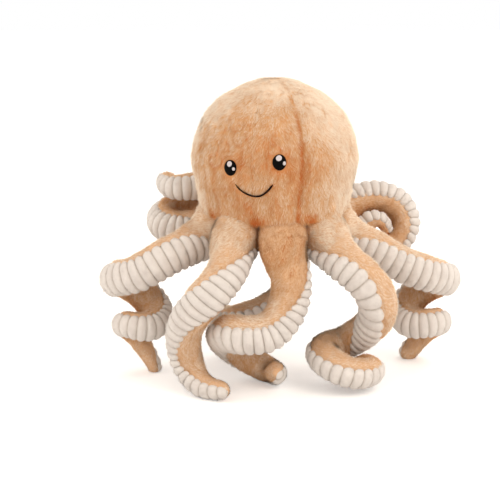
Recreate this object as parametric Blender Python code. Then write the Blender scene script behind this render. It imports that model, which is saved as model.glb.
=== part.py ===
"""Plush octopus: a round stuffed head on eight curled arms, each arm a fur panel and a ribbed panel
sewn round a core of stuffing and hung on the underside of the head."""
import math

import bmesh
import bpy
import numpy as np
from mathutils import Vector

# Driving dimensions, metres.
HEAD_RADIUS = 0.107
PANEL_THICKNESS = 0.0025
BASE_THICKNESS = 0.003
CLEARANCE = 0.0003
SEAM_GAP = 0.0006
THREAD_RADIUS = 0.0009
PATCH_THICKNESS = 0.0014
FOOT_CUT = 0.0005

# Shares of the head's radius.
HEAD_TOP_SHARE = 0.944
HEAD_FLOOR_SHARE = 0.655
BASE_RADIUS_SHARE = 0.69
ARM_SHARE = 0.2336
RING_SHARE = 0.682
FLOOR_SHARE = 2.68
RIB_PITCH_SHARE = 0.1215
RIB_DEPTH_SHARE = 0.03
ROUTE_STEP_SHARE = 0.028
EYE_HALF_WIDTH_SHARE = 0.077
EYE_HALF_HEIGHT_SHARE = 0.094
FACE_STEP_SHARE = 0.05

# Angles, degrees. Arms are laid out from the front of the toy as it stands turned by VIEW_TURN.
VIEW_TURN = 16.0
RIB_HALF_ANGLE = 78.0
ROOT_DOME_END = 80.0
ROOT_DOME_RINGS = 4
STEEP_ROOT = 20.0
TIP_DOME_ANGLES = (15.0, 30.0, 45.0, 60.0)
SEAM_ANGLES = (-34.0, 34.0, 131.3, 228.7, 326.0)
GORE_NAMES = ("head_front", "head_right", "head_back", "head_left")
SEAM_HALF_WIDTH = 7.0
SEAM_DIP_SHARE = 0.035

# Across a gore, and up a gore from the base to the crown, as shares of its span.
GORE_ACROSS_SHARES = (0.0, 0.07, 0.24, 0.5, 0.76, 0.93, 1.0)
# Profile of the head: height and radius as shares of the head's radius.
UNDER_PROFILE_SHARES = ((-0.683, 0.757), (-0.668, 0.812), (-0.59, 0.872), (-0.42, 0.937), (-0.2, 0.986))
CROWN_ANGLES = (0.0, 15.0, 30.0, 44.0, 57.0, 69.0, 79.0, 86.0)

# Face, degrees round from the middle of the face and up from the widest line.
EYES = {"eye_left": (-15.7, -2.5), "eye_right": (17.9, 2.5)}
GLINTS = {
    "eye_left_glint_upper": (-15.5, -0.2, 0.42, 0.44),
    "eye_left_glint_lower": (-12.7, -3.0, 0.22, 0.22),
    "eye_right_glint_upper": (17.5, 4.7, 0.44, 0.46),
    "eye_right_glint_lower": (20.7, 1.7, 0.25, 0.25),
}
SMILE = ((-12.1, -13.5), (-9.7, -16.6), (-6.6, -19.1), (-2.7, -21.0), (1.4, -21.8),
         (5.1, -21.3), (8.2, -19.4), (11.3, -16.2), (13.9, -12.4))

# Each arm: angle of its root and slope of its middle line there, then points on that line
# (right, front, up as shares of the head's radius; thickness as a share of the root's; direction of
# the ribs), then a curl: middle right and front, top, radius at start and end, drop, end thickness,
# how far its right and its front side lie higher, first angle and turn, degrees, how late it drops,
# and how far the ribs look down there.
ARMS = {
    "arm_left": {
        "angle": -83.5, "slope": -24.0, "stands": True,
        "lead_shares": (
            (-0.940, 0.150, -1.005, 1.00, 0.0, 0.7, -0.7),
            (-1.070, 0.280, -1.050, 0.98, 0.0, 0.95, -0.35),
            (-1.326, 0.370, -1.150, 0.96, 0.0, 1.0, -0.2),
        ),
        "coil_shares": (-1.640, 0.110, -1.300, 0.278, 0.172, 0.990, 0.36), "lean_shares": (-0.13, 0.0),
        "coil_turn": (80.0, 620.0), "coil_fall": 1.0, "coil_tilt": -0.1,
    },
    "arm_front_left": {
        "angle": -38.5, "slope": -34.0, "stands": True,
        "lead_shares": (
            (-0.505, 0.775, -1.110, 1.00, 0.6, 0.1, -0.7),
            (-0.581, 0.916, -1.253, 0.98, 0.6, 0.6, -0.4),
            (-0.783, 1.009, -1.498, 0.96, -0.1, 1.0, -0.2),
            (-0.994, 0.935, -1.765, 0.92, -1.0, 0.4, 0.0),
            (-1.064, 0.785, -2.084, 0.86, -1.0, -0.1, -0.1),
            (-1.022, 0.766, -2.333, 0.78, -1.0, -0.2, -0.3),
            (-0.913, 0.879, -2.491, 0.68, -0.8, 0.3, -0.4),
            (-0.780, 1.028, -2.548, 0.56, -0.5, 0.6, -0.5),
            (-0.616, 1.140, -2.533, 0.40, 0.1, 1.0, -0.3),
        ),
    },
    "arm_front": {
        "angle": 6.5, "slope": -66.0, "stands": True,
        "lead_shares": (
            (0.138, 0.770, -1.120, 1.00, 0.2, -1.0, -0.2),
            (0.172, 0.800, -1.270, 1.00, 0.6, -0.8, 0.0),
            (0.180, 0.815, -1.490, 0.98, 1.0, -0.3, -0.1),
            (0.115, 0.880, -1.700, 0.96, 1.0, 0.3, -0.4),
        ),
        "coil_shares": (-0.265, 0.650, -1.930, 0.380, 0.270, 0.500, 0.56), "lean_shares": (-0.10, 0.20),
        "coil_turn": (62.0, 305.0), "coil_fall": 1.0, "coil_tilt": -0.7,
    },
    "arm_front_right": {
        "angle": 51.5, "slope": -34.0, "stands": True,
        "lead_shares": (
            (0.700, 0.605, -1.065, 1.00, -0.3, 0.3, -0.9),
            (0.863, 0.729, -1.180, 1.00, -0.5, 0.8, -0.6),
            (1.078, 0.785, -1.355, 0.98, -0.8, 0.6, -0.5),
            (1.210, 0.729, -1.607, 0.97, -0.95, 0.35, -0.3),
            (1.180, 0.530, -1.880, 0.90, -0.8, 0.5, -0.4),
            (0.990, 0.345, -2.100, 0.85, 0.2, 0.3, -0.9),
        ),
        "coil_shares": (0.900, 0.640, -2.230, 0.385, 0.200, 0.420, 0.46), "lean_shares": (0.0, -0.11),
        "coil_turn": (-110.0, -350.0), "coil_fall": 3.0, "coil_tilt": -0.8,
    },
    "arm_right": {
        "angle": 96.5, "slope": -22.0, "stands": True,
        "lead_shares": (
            (0.958, -0.095, -1.037, 1.00, 0.0, 0.5, -0.8),
            (1.229, -0.075, -1.149, 1.00, 0.0, 0.9, -0.5),
            (1.516, -0.093, -1.304, 0.96, 0.0, 1.0, -0.4),
        ),
        "coil_shares": (1.885, -0.336, -1.430, 0.254, 0.205, 0.990, 0.50), "lean_shares": (0.13, 0.0),
        "coil_turn": (100.0, -590.0), "coil_fall": 1.0, "coil_tilt": -0.1,
    },
    "arm_back_right": {
        "angle": 141.5, "slope": -6.0, "stands": False,
        "lead_shares": (
            (0.670, -0.810, -0.935, 0.98, -0.6, -0.5, -0.6),
            (0.870, -0.970, -0.865, 0.96, -0.6, -0.5, 0.5),
            (1.090, -1.060, -0.735, 0.92, -0.4, -0.1, 1.0),
            (1.365, -1.090, -0.675, 0.88, 0.1, 0.0, 1.0),
            (1.650, -1.060, -0.780, 0.84, 0.7, 0.0, 0.7),
            (1.740, -0.990, -1.040, 0.80, 1.0, 0.0, 0.0),
            (1.590, -0.900, -1.275, 0.72, 0.5, 0.0, -0.9),
            (1.311, -0.830, -1.280, 0.68, -0.5, 0.0, -0.9),
            (1.150, -0.790, -1.080, 0.60, -1.0, 0.0, 0.1),
            (1.243, -0.770, -0.900, 0.50, -0.3, 0.2, 1.0),
            (1.413, -0.790, -0.915, 0.40, 0.5, 0.2, 1.0),
            (1.460, -0.815, -1.040, 0.32, 0.9, 0.2, 0.0),
        ),
    },
    "arm_back_left": {
        "angle": -128.5, "slope": -8.0, "stands": False,
        "lead_shares": (
            (-0.841, -0.580, -0.965, 0.96, 0.0, 0.5, -0.8),
            (-1.080, -0.600, -1.000, 0.94, 0.0, 1.0, -0.3),
        ),
        "coil_shares": (-1.150, -0.840, -1.020, 0.280, 0.200, -0.680, 0.56), "lean_shares": (0.11, 0.0),
        "coil_turn": (95.0, 450.0), "coil_fall": 1.0, "coil_tilt": -0.1,
    },
    "arm_back": {
        "angle": -173.5, "slope": -48.0, "stands": True,
        "lead_shares": (
            (0.020, -0.860, -1.130, 1.00, 0.0, 1.0, -0.4),
            (0.190, -0.830, -1.360, 1.00, 0.2, 1.0, -0.3),
            (0.260, -0.660, -1.640, 0.98, 0.3, 1.0, -0.2),
            (0.180, -0.450, -1.890, 0.96, 0.4, 1.0, -0.2),
        ),
        "coil_shares": (-0.400, -0.449, -2.080, 0.262, 0.200, 0.500, 0.40), "lean_shares": (-0.08, 0.0),
        "coil_turn": (60.0, 420.0), "coil_fall": 1.0, "coil_tilt": -0.3,
    },
}
STUB_SHARE = 0.13
ROOT_FADE_SHARE = 0.3
COIL_STEP = 45.0
LEAN_IN = 0.5
SMOOTH_PASSES = 32
SPLINE_STEPS = 12
SETTLE_PASSES = 6

ARM_RADIUS = HEAD_RADIUS * ARM_SHARE
BASE_TOP = -HEAD_RADIUS * HEAD_FLOOR_SHARE
BASE_UNDER = BASE_TOP - BASE_THICKNESS
PIVOT_HEIGHT = BASE_UNDER - CLEARANCE - ARM_RADIUS
FLOOR = -HEAD_RADIUS * FLOOR_SHARE
CORE_INSET = CLEARANCE * 3.0


def clear_scene():
    """Remove every object that is in the file at the start."""
    for item in list(bpy.data.objects):
        bpy.data.objects.remove(item, do_unlink=True)


def make_material(name, colour, roughness):
    """A plain material: colour, roughness, no metal."""
    material = bpy.data.materials.new(name)
    material.use_nodes = True
    shader = material.node_tree.nodes["Principled BSDF"]
    shader.inputs["Base Color"].default_value = (*colour, 1.0)
    shader.inputs["Roughness"].default_value = roughness
    shader.inputs["Metallic"].default_value = 0.0
    return material


def make_object(name, vertices, faces, material, origin=(0.0, 0.0, 0.0)):
    """A closed mesh with its faces turned outward and its origin at the given place."""
    mesh = bpy.data.meshes.new(name)
    work = bmesh.new()
    points = [work.verts.new(Vector(v) - Vector(origin)) for v in vertices]
    for face in faces:
        work.faces.new([points[i] for i in face])
    bmesh.ops.recalc_face_normals(work, faces=work.faces[:])
    work.to_mesh(mesh)
    work.free()
    mesh.materials.append(material)
    item = bpy.data.objects.new(name, mesh)
    item.location = origin
    bpy.context.scene.collection.objects.link(item)
    return item


def turned(points, degrees):
    """Points turned about the upright axis."""
    angle = math.radians(degrees)
    rotation = np.array([[math.cos(angle), math.sin(angle), 0.0],
                         [-math.sin(angle), math.cos(angle), 0.0],
                         [0.0, 0.0, 1.0]])
    return np.asarray(points, float) @ rotation


def place(shares):
    """Right, front and up, turned to the toy's own frame, with the face to -Y."""
    points = np.array(shares, float) * (1.0, -1.0, 1.0)
    return turned(points, VIEW_TURN)


def head_point(azimuth, height, radius):
    """A point of the head's skin; azimuth 0 is the middle of the face. Each seam draws the skin in."""
    near = min(abs((azimuth - seam + 180.0) % 360.0 - 180.0) for seam in SEAM_ANGLES)
    dip = SEAM_DIP_SHARE * math.exp(-(near * max(radius, 0.2) / SEAM_HALF_WIDTH) ** 2)
    reach = HEAD_RADIUS * radius * (1.0 - dip)
    angle = math.radians(azimuth)
    return np.array([reach * math.sin(angle), -reach * math.cos(angle), HEAD_RADIUS * height])


def head_profile():
    """Height and radius shares from the base to the crown."""
    rows = list(UNDER_PROFILE_SHARES)
    for angle in CROWN_ANGLES:
        rows.append((HEAD_TOP_SHARE * math.sin(math.radians(angle)), math.cos(math.radians(angle))))
    return rows


def face_point(azimuth, elevation, lift):
    """A point lifted off the front of the head: a round crown, and the under profile below it."""
    angle = math.radians(elevation)
    height = math.sin(angle) * HEAD_TOP_SHARE
    if height > 0.0:
        radius, rise = math.cos(angle), height / HEAD_TOP_SHARE ** 2
    else:
        heights, radii = zip(*head_profile())
        near = (height - FACE_STEP_SHARE, height, height + FACE_STEP_SHARE)
        below, radius, above = np.interp(near, heights, radii)
        rise = (below - above) / (2.0 * FACE_STEP_SHARE)
    point = head_point(azimuth, height, radius)
    normal = point * (1.0, 1.0, 0.0)
    normal = normal / np.linalg.norm(normal)
    normal[2] = rise
    return point + normal / np.linalg.norm(normal) * lift


def build_gore(name, start, end, material):
    """One gore of the head: a skin of even thickness between two seams."""
    profile = head_profile()
    inset = PANEL_THICKNESS / HEAD_RADIUS
    outer, inner = [], []
    for height, radius in profile:
        slip = math.degrees(0.5 * CLEARANCE / (HEAD_RADIUS * radius))
        for share in GORE_ACROSS_SHARES:
            azimuth = start + slip + (end - start - 2.0 * slip) * share
            outer.append(head_point(azimuth, height, radius))
            deep_height = height - inset * max(height, 0.0)
            deep = head_point(azimuth, deep_height, max(radius - inset, inset * 0.3))
            inner.append(deep)
    across, rows = len(GORE_ACROSS_SHARES), len(profile)
    shift = across * rows
    faces = []
    for i in range(rows - 1):
        for k in range(across - 1):
            a, b, c, d = i * across + k, i * across + k + 1, (i + 1) * across + k + 1, (i + 1) * across + k
            faces.append((a, b, c, d))
            faces.append((a + shift, d + shift, c + shift, b + shift))
        for k in (0, across - 1):
            a, b = i * across + k, (i + 1) * across + k
            faces.append((a, b, b + shift, a + shift))
    for k in range(across - 1):
        for i in (0, rows - 1):
            a, b = i * across + k, i * across + k + 1
            faces.append((a, b, b + shift, a + shift))
    return make_object(name, outer + inner, faces, material)


def build_revolved(name, profile, count, material):
    """A solid of revolution about the upright axis, closed at both ends by flat faces."""
    vertices, faces = [], []
    for height, radius in profile:
        for k in range(count):
            angle = 2.0 * math.pi * k / count
            vertices.append((radius * math.sin(angle), -radius * math.cos(angle), height))
    for i in range(len(profile) - 1):
        for k in range(count):
            m = (k + 1) % count
            faces.append((i * count + k, i * count + m, (i + 1) * count + m, (i + 1) * count + k))
    faces.append(tuple(range(count)))
    faces.append(tuple(range((len(profile) - 1) * count, len(profile) * count)))
    return make_object(name, vertices, faces, material)


def build_stuffing(material):
    """The filling of the head, inside the gores and above the base."""
    rows = []
    inset = (PANEL_THICKNESS + HEAD_RADIUS * SEAM_DIP_SHARE + CLEARANCE * 4.0) / HEAD_RADIUS
    rows.append(((BASE_TOP + CLEARANCE) / HEAD_RADIUS, BASE_RADIUS_SHARE - inset))
    (low, narrow), (high, wide) = UNDER_PROFILE_SHARES[2], UNDER_PROFILE_SHARES[-1]
    rows.append((low + inset, narrow - inset * 1.4))
    rows.append((high, wide - inset * 1.3))
    for angle in CROWN_ANGLES[::2]:
        radius = math.cos(math.radians(angle)) - inset
        rows.append(((HEAD_TOP_SHARE - inset) * math.sin(math.radians(angle)), max(radius, inset * 0.3)))
    profile = [(height * HEAD_RADIUS, radius * HEAD_RADIUS) for height, radius in rows]
    return build_revolved("head_stuffing", profile, 14, material)


def build_base(material):
    """The flat panel that closes the head and carries the eight arms."""
    radius = HEAD_RADIUS * BASE_RADIUS_SHARE
    profile = ((BASE_UNDER, radius), (BASE_TOP, radius))
    return build_revolved("base_panel", profile, 24, material)


def build_patch(name, azimuth, elevation, half_width, half_height, lift, count, material):
    """An oval patch that follows the face, of even thickness."""
    lower, upper = [], []
    for ring in (1.0, 0.5):
        for k in range(count):
            angle = 2.0 * math.pi * k / count
            side = math.degrees(half_width * ring * math.cos(angle) / HEAD_RADIUS)
            rise = math.degrees(half_height * ring * math.sin(angle) / HEAD_RADIUS)
            lower.append(face_point(azimuth + side, elevation + rise, lift))
            upper.append(face_point(azimuth + side, elevation + rise, lift + PATCH_THICKNESS))
    lower.append(face_point(azimuth, elevation, lift))
    upper.append(face_point(azimuth, elevation, lift + PATCH_THICKNESS))
    shift = len(lower)
    faces = []
    for k in range(count):
        m = (k + 1) % count
        faces.append((k, m, m + count, k + count))
        faces.append((k + shift, k + count + shift, m + count + shift, m + shift))
        faces.append((k + count, m + count, 2 * count))
        faces.append((k + count + shift, 2 * count + shift, m + count + shift))
        faces.append((k, k + shift, m + shift, m))
    return make_object(name, lower + upper, faces, material)


def build_thread(material):
    """The sewn smile: a round thread along the face."""
    lift = CLEARANCE + THREAD_RADIUS
    path = [face_point(azimuth, elevation, lift) for azimuth, elevation in SMILE]
    sides = 6
    vertices, faces = [], []
    for i, point in enumerate(path):
        along = path[min(i + 1, len(path) - 1)] - path[max(i - 1, 0)]
        along = along / np.linalg.norm(along)
        out = point / np.linalg.norm(point)
        across = np.cross(along, out)
        across = across / np.linalg.norm(across)
        out = np.cross(across, along)
        for k in range(sides):
            angle = 2.0 * math.pi * k / sides
            vertices.append(point + (out * math.sin(angle) + across * math.cos(angle)) * THREAD_RADIUS)
    for i in range(len(path) - 1):
        for k in range(sides):
            m = (k + 1) % sides
            faces.append((i * sides + k, i * sides + m, (i + 1) * sides + m, (i + 1) * sides + k))
    faces.append(tuple(range(sides)))
    faces.append(tuple(range((len(path) - 1) * sides, len(path) * sides)))
    return make_object("smile", vertices, faces, material)


def spline(rows):
    """A smooth curve through the rows."""
    rows = np.vstack([2.0 * rows[0] - rows[1], rows, 2.0 * rows[-1] - rows[-2]])
    parts = []
    t = np.linspace(0.0, 1.0, SPLINE_STEPS, endpoint=False)[:, None]
    for i in range(1, len(rows) - 2):
        a, b, c, d = rows[i - 1], rows[i], rows[i + 1], rows[i + 2]
        parts.append(0.5 * (2.0 * b + (c - a) * t + (2.0 * a - 5.0 * b + 4.0 * c - d) * t ** 2
                            + (3.0 * b - a - 3.0 * c + d) * t ** 3))
    parts.append(rows[-2][None])
    return np.vstack(parts)


def resample(rows, count):
    """The same curve with an even spacing."""
    along = np.r_[0.0, np.cumsum(np.linalg.norm(np.diff(rows[:, :3], axis=0), axis=1))]
    marks = np.linspace(0.0, along[-1], count + 1)
    return np.stack([np.interp(marks, along, rows[:, k]) for k in range(rows.shape[1])], axis=1)


def curve_length(rows):
    """Length of a curve."""
    return float(np.linalg.norm(np.diff(rows[:, :3], axis=0), axis=1).sum())


def root_frame(arm):
    """Root place, direction of the arm there and direction of its ribs, in the plane it swings in."""
    angle, slope = math.radians(arm["angle"]), math.radians(arm["slope"])
    out = np.array([math.sin(angle), math.cos(angle), 0.0])
    up = np.array([0.0, 0.0, 1.0])
    root = RING_SHARE * out + PIVOT_HEIGHT / HEAD_RADIUS * up
    return root, math.cos(slope) * out + math.sin(slope) * up, math.sin(slope) * out - math.cos(slope) * up


def arm_route(arm):
    """The arm's middle line: place, thickness share and direction of the ribs, evenly spaced."""
    root, leave, under = root_frame(arm)
    rows = [(*(root - STUB_SHARE * leave), 1.0, *under), (*root, 1.0, *under),
            (*(root + STUB_SHARE * leave), 1.0, *under)]
    rows.extend(arm["lead_shares"])
    if "coil_shares" in arm:
        right, front, top, start_radius, end_radius, drop, end_share = arm["coil_shares"]
        lean_right, lean_front = arm["lean_shares"]
        first, turn = arm["coil_turn"]
        share = rows[-1][3]
        steps = int(abs(turn) / COIL_STEP)
        for i in range(steps + 1):
            part = i / steps
            theta = math.radians(first + turn * part)
            reach = start_radius + (end_radius - start_radius) * part
            thick = share + (end_share - share) * (0.35 * part + 0.65 * part ** 2.6)
            lean = lean_right * math.cos(theta) + lean_front * math.sin(theta)
            height = top - drop * part ** arm["coil_fall"] + lean * min(part / LEAN_IN, 1.0)
            rows.append((right + reach * math.cos(theta), front + reach * math.sin(theta), height,
                         thick, math.cos(theta), math.sin(theta), arm["coil_tilt"]))
    curve = spline(np.array(rows, float))
    count = int(curve_length(curve) / ROUTE_STEP_SHARE)
    curve = resample(curve, count)
    for _ in range(SMOOTH_PASSES):
        curve[1:-1] = (curve[:-2] + 2.0 * curve[1:-1] + curve[2:]) / 4.0
    start = int(np.argmin(np.linalg.norm(curve[:, :3] - root, axis=1)))
    curve = curve[start:]
    fade = np.clip(1.0 - np.linspace(0.0, 1.0, len(curve)) / ROOT_FADE_SHARE, 0.0, 1.0)
    curve[:, :3] += np.outer(fade, root - curve[0, :3])
    pairs = max(4, round(curve_length(curve) / RIB_PITCH_SHARE))
    curve = resample(curve, 2 * pairs)
    centre = place(curve[:, :3]) * HEAD_RADIUS
    hint = place(curve[:, 4:7])
    return centre, curve[:, 3] * ARM_RADIUS, hint, place(leave)


def frames(centre, hint, leave):
    """Along, rib direction and side direction at each station."""
    along = np.gradient(centre, axis=0)
    along[0] = leave
    along /= np.linalg.norm(along, axis=1)[:, None]
    ribs = hint - (hint * along).sum(axis=1)[:, None] * along
    ribs /= np.linalg.norm(ribs, axis=1)[:, None]
    return along, ribs, np.cross(along, ribs)


def root_dome(leave):
    """Angles of the rings of the round root. One ring holds its topmost point, under the head."""
    top = -math.degrees(math.asin(leave[2]))
    steps = ROOT_DOME_RINGS - 1
    if top < STEEP_ROOT:
        return [ROOT_DOME_END + (top - ROOT_DOME_END) * k / steps for k in range(ROOT_DOME_RINGS)]
    return [ROOT_DOME_END, (ROOT_DOME_END + top) / 2.0, top, top / 2.0]


def with_domes(centre, radius, hint, leave):
    """Add the round root and the round tip to the stations."""
    along, ribs, side = frames(centre, hint, leave)
    c, r, n, s = [], [], [], []
    for angle in root_dome(leave):
        a = math.radians(angle)
        c.append(centre[0] - along[0] * radius[0] * math.sin(a))
        r.append(radius[0] * math.cos(a))
        n.append(ribs[0])
        s.append(side[0])
    c.extend(centre)
    r.extend(radius)
    n.extend(ribs)
    s.extend(side)
    for angle in TIP_DOME_ANGLES:
        a = math.radians(angle)
        c.append(centre[-1] + along[-1] * radius[-1] * math.sin(a))
        r.append(radius[-1] * math.cos(a))
        n.append(ribs[-1])
        s.append(side[-1])
    return np.array(c), np.array(r), np.array(n), np.array(s)


def ring_points(centre, radius, ribs, side, angle, slip):
    """One line of points along the arm at an angle from the rib direction; slip opens the seam."""
    a = np.radians(angle) + np.arcsin(np.clip(slip / radius, -0.5, 0.5))
    return centre + radius[:, None] * (np.cos(a)[:, None] * ribs + np.sin(a)[:, None] * side)


def rib_waves(count):
    """Dip between ribs: every second station lies deep, except on the domes."""
    waves = np.zeros(count)
    first, last = ROOT_DOME_RINGS + 2, count - len(TIP_DOME_ANGLES) - 1
    waves[first + 1:last:2] = HEAD_RADIUS * RIB_DEPTH_SHARE
    return waves


def panel_lines(stations, angles, slips, wave_shares):
    """Outer lines of a panel, and how far each is drawn in between ribs."""
    centre, radius, ribs, side = stations
    waves = rib_waves(len(centre))
    lines = []
    for angle, slip, share in zip(angles, slips, wave_shares):
        reach = radius - np.minimum(waves * share, radius * 0.2)
        lines.append(ring_points(centre, reach, ribs, side, angle, slip))
    return lines


def inner_lines(stations, angles, slips, inset):
    """Lines inside the panels, at every second station. Under the ribs they lie below the dips."""
    centre, radius, ribs, side = [row[::2] for row in stations]
    dip = HEAD_RADIUS * RIB_DEPTH_SHARE
    lines = []
    for angle, slip in zip(angles, slips):
        reach = radius
        if angle == 0.0:
            reach = (radius - np.minimum(dip, radius * 0.2)) * math.cos(math.radians(RIB_HALF_ANGLE / 3.0))
        deep = np.maximum(reach - PANEL_THICKNESS, reach * 0.3) - inset
        lines.append(ring_points(centre, deep, ribs, side, angle, slip))
    return lines


def build_panel(name, stations, outer_angles, inner_angles, wave_shares, fine, material, origin):
    """A skin panel along the arm. Lines named in fine keep every station, the others every second."""
    slip = 0.5 * SEAM_GAP
    slips = [slip] + [0.0] * (len(outer_angles) - 2) + [-slip]
    outer = panel_lines(stations, outer_angles, slips, wave_shares)
    inner_slips = [slip] + [0.0] * (len(inner_angles) - 2) + [-slip]
    inner = inner_lines(stations, inner_angles, inner_slips, 0.0)
    vertices, outer_index, inner_index = [], [], []
    for k, line in enumerate(outer):
        index = []
        for i, point in enumerate(line):
            if k in fine or i % 2 == 0:
                index.append(len(vertices))
                vertices.append(point)
            else:
                index.append(None)
        outer_index.append(index)
    for line in inner:
        inner_index.append(list(range(len(vertices), len(vertices) + len(line))))
        vertices.extend(line)
    faces = []
    pairs = len(inner[0]) - 1
    for j in range(pairs):
        i = 2 * j
        for k in range(len(outer) - 1):
            a0, a1, a2 = outer_index[k][i:i + 3]
            b0, b1, b2 = outer_index[k + 1][i:i + 3]
            if a1 is not None and b1 is not None:
                faces.extend(((a0, b0, b1, a1), (a1, b1, b2, a2)))
            elif a1 is not None:
                faces.extend(((a0, b0, a1), (a1, b0, b2), (a1, b2, a2)))
            elif b1 is not None:
                faces.extend(((b0, b1, a0), (b1, a2, a0), (b1, b2, a2)))
            else:
                faces.append((a0, b0, b2, a2))
        for k in range(len(inner) - 1):
            a, b = inner_index[k], inner_index[k + 1]
            faces.extend(((a[j], a[j + 1], b[j + 1]), (a[j], b[j + 1], b[j])))
        for a, b in ((outer_index[0], inner_index[0]), (outer_index[-1], inner_index[-1])):
            faces.extend(((a[i], a[i + 1], b[j]), (a[i + 1], b[j + 1], b[j]), (a[i + 1], a[i + 2], b[j + 1])))
    for i, j in ((0, 0), (2 * pairs, pairs)):
        rim = [line[i] for line in outer_index] + [line[j] for line in reversed(inner_index)]
        faces.append(tuple(rim))
    return make_object(name, vertices, faces, material, origin)


def build_core(name, stations, angles, material, origin):
    """The stuffing of an arm, just inside its two panels."""
    lines = inner_lines(stations, angles, (0.0,) * len(angles), CORE_INSET)
    count, rows = len(lines), len(lines[0])
    vertices = [lines[k][i] for i in range(rows) for k in range(count)]
    faces = []
    for i in range(rows - 1):
        for k in range(count):
            m = (k + 1) % count
            near, far = i * count, (i + 1) * count
            faces.extend(((near + k, far + m, far + k), (near + k, near + m, far + m)))
    faces.append(tuple(range(count)))
    faces.append(tuple(range((rows - 1) * count, rows * count)))
    return make_object(name, vertices, faces, material, origin)


def cut_foot(item, height):
    """Cut a piece flat where the toy stands and close the cut."""
    work = bmesh.new()
    work.from_mesh(item.data)
    bmesh.ops.transform(work, matrix=item.matrix_basis, verts=work.verts[:])
    if min(v.co.z for v in work.verts) < height:
        bmesh.ops.triangulate(work, faces=work.faces[:])
        everything = work.verts[:] + work.edges[:] + work.faces[:]
        bmesh.ops.bisect_plane(work, geom=everything, dist=CLEARANCE / 300.0, plane_co=(0.0, 0.0, height),
                               plane_no=(0.0, 0.0, -1.0), clear_outer=True)
        edges = [edge for edge in work.edges if edge.is_boundary]
        bmesh.ops.holes_fill(work, edges=edges, sides=0)
        bmesh.ops.recalc_face_normals(work, faces=work.faces[:])
        bmesh.ops.transform(work, matrix=item.matrix_basis.inverted(), verts=work.verts[:])
        work.to_mesh(item.data)
    work.free()


RIB_OUTER_ANGLES = (-RIB_HALF_ANGLE, -RIB_HALF_ANGLE / 3.0, RIB_HALF_ANGLE / 3.0, RIB_HALF_ANGLE)
RIB_INNER_ANGLES = (-RIB_HALF_ANGLE, 0.0, RIB_HALF_ANGLE)
FUR_SPAN = 360.0 - 2.0 * RIB_HALF_ANGLE
FUR_OUTER_ANGLES = tuple(RIB_HALF_ANGLE + FUR_SPAN * k / 4.0 for k in range(5))
FUR_INNER_ANGLES = tuple(RIB_HALF_ANGLE + FUR_SPAN * k / 2.0 for k in range(3))
CORE_ANGLES = (0.0, RIB_HALF_ANGLE, 180.0, 360.0 - RIB_HALF_ANGLE)


def lowest(stations):
    """Lowest point of an arm's two panels."""
    ribs = panel_lines(stations, RIB_OUTER_ANGLES, (0.0,) * 4, (0.0, 1.0, 1.0, 0.0))
    fur = panel_lines(stations, FUR_OUTER_ANGLES, (0.0,) * 5, (0.0,) * 5)
    return min(float(line[:, 2].min()) for line in ribs + fur)


def build_arm(name, arm, skins, stuffing):
    """An arm: ribbed panel outside its curl, fur panel inside it, stuffing between them."""
    centre, radius, hint, leave = arm_route(arm)
    pivot = centre[0].copy()
    stations = with_domes(centre, radius, hint, leave)
    if arm["stands"]:
        for _ in range(SETTLE_PASSES):
            stretch = (FLOOR - FOOT_CUT - pivot[2]) / (lowest(stations) - pivot[2])
            centre[:, 2] = pivot[2] + (centre[:, 2] - pivot[2]) * stretch
            stations = with_domes(centre, radius, hint, leave)
    origin = tuple(float(v) for v in pivot)
    items = [
        build_panel(name + "_ribs", stations, RIB_OUTER_ANGLES, RIB_INNER_ANGLES,
                    (0.0, 1.0, 1.0, 0.0), (0, 1, 2, 3), skins[1], origin),
        build_panel(name + "_fur", stations, FUR_OUTER_ANGLES, FUR_INNER_ANGLES,
                    (0.0,) * 5, (0, 4), skins[0], origin),
        build_core(name + "_stuffing", stations, CORE_ANGLES, stuffing, origin),
    ]
    if arm["stands"]:
        for item in items:
            cut_foot(item, FLOOR)
    return items


def recentre():
    """Stand the toy on z = 0 with the middle of its bounding box above the origin."""
    low, high = np.full(3, np.inf), np.full(3, -np.inf)
    meshes = [item for item in bpy.data.objects if item.type == "MESH"]
    for item in meshes:
        points = np.array([item.matrix_basis @ v.co for v in item.data.vertices])
        low, high = np.minimum(low, points.min(axis=0)), np.maximum(high, points.max(axis=0))
    middle = Vector(((low[0] + high[0]) / 2.0, (low[1] + high[1]) / 2.0, low[2]))
    for item in meshes:
        item.location = item.location - middle
    print("size", [round(float(v), 4) for v in high - low], "middle", [round(v, 5) for v in middle])
    for name in ARMS:
        item = bpy.data.objects[name + "_fur"]
        print(name, "pivot", [round(v, 5) for v in item.location])


def main():
    """Build every piece."""
    clear_scene()
    fur = make_material("peach_fur", (0.78, 0.5, 0.28), 0.95)
    ribbed = make_material("cream_ribbed_plush", (0.78, 0.7, 0.6), 0.9)
    filling = make_material("polyester_stuffing", (0.9, 0.9, 0.88), 1.0)
    black = make_material("black_embroidery", (0.01, 0.01, 0.012), 0.5)
    white = make_material("white_embroidery", (0.9, 0.9, 0.9), 0.5)
    brown = make_material("dark_thread", (0.06, 0.03, 0.02), 0.6)
    for name, start, end in zip(GORE_NAMES, SEAM_ANGLES[:-1], SEAM_ANGLES[1:]):
        build_gore(name, start, end, fur)
    build_stuffing(filling)
    build_base(fur)
    half_width, half_height = HEAD_RADIUS * EYE_HALF_WIDTH_SHARE, HEAD_RADIUS * EYE_HALF_HEIGHT_SHARE
    for name, (azimuth, elevation) in EYES.items():
        build_patch(name, azimuth, elevation, half_width, half_height, CLEARANCE, 14, black)
    lift = CLEARANCE * 2.0 + PATCH_THICKNESS
    for name, (azimuth, elevation, wide, tall) in GLINTS.items():
        build_patch(name, azimuth, elevation, half_width * wide, half_height * tall, lift, 8, white)
    build_thread(brown)
    for name, arm in ARMS.items():
        build_arm(name, arm, (fur, ribbed), filling)
    recentre()


main()
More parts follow.
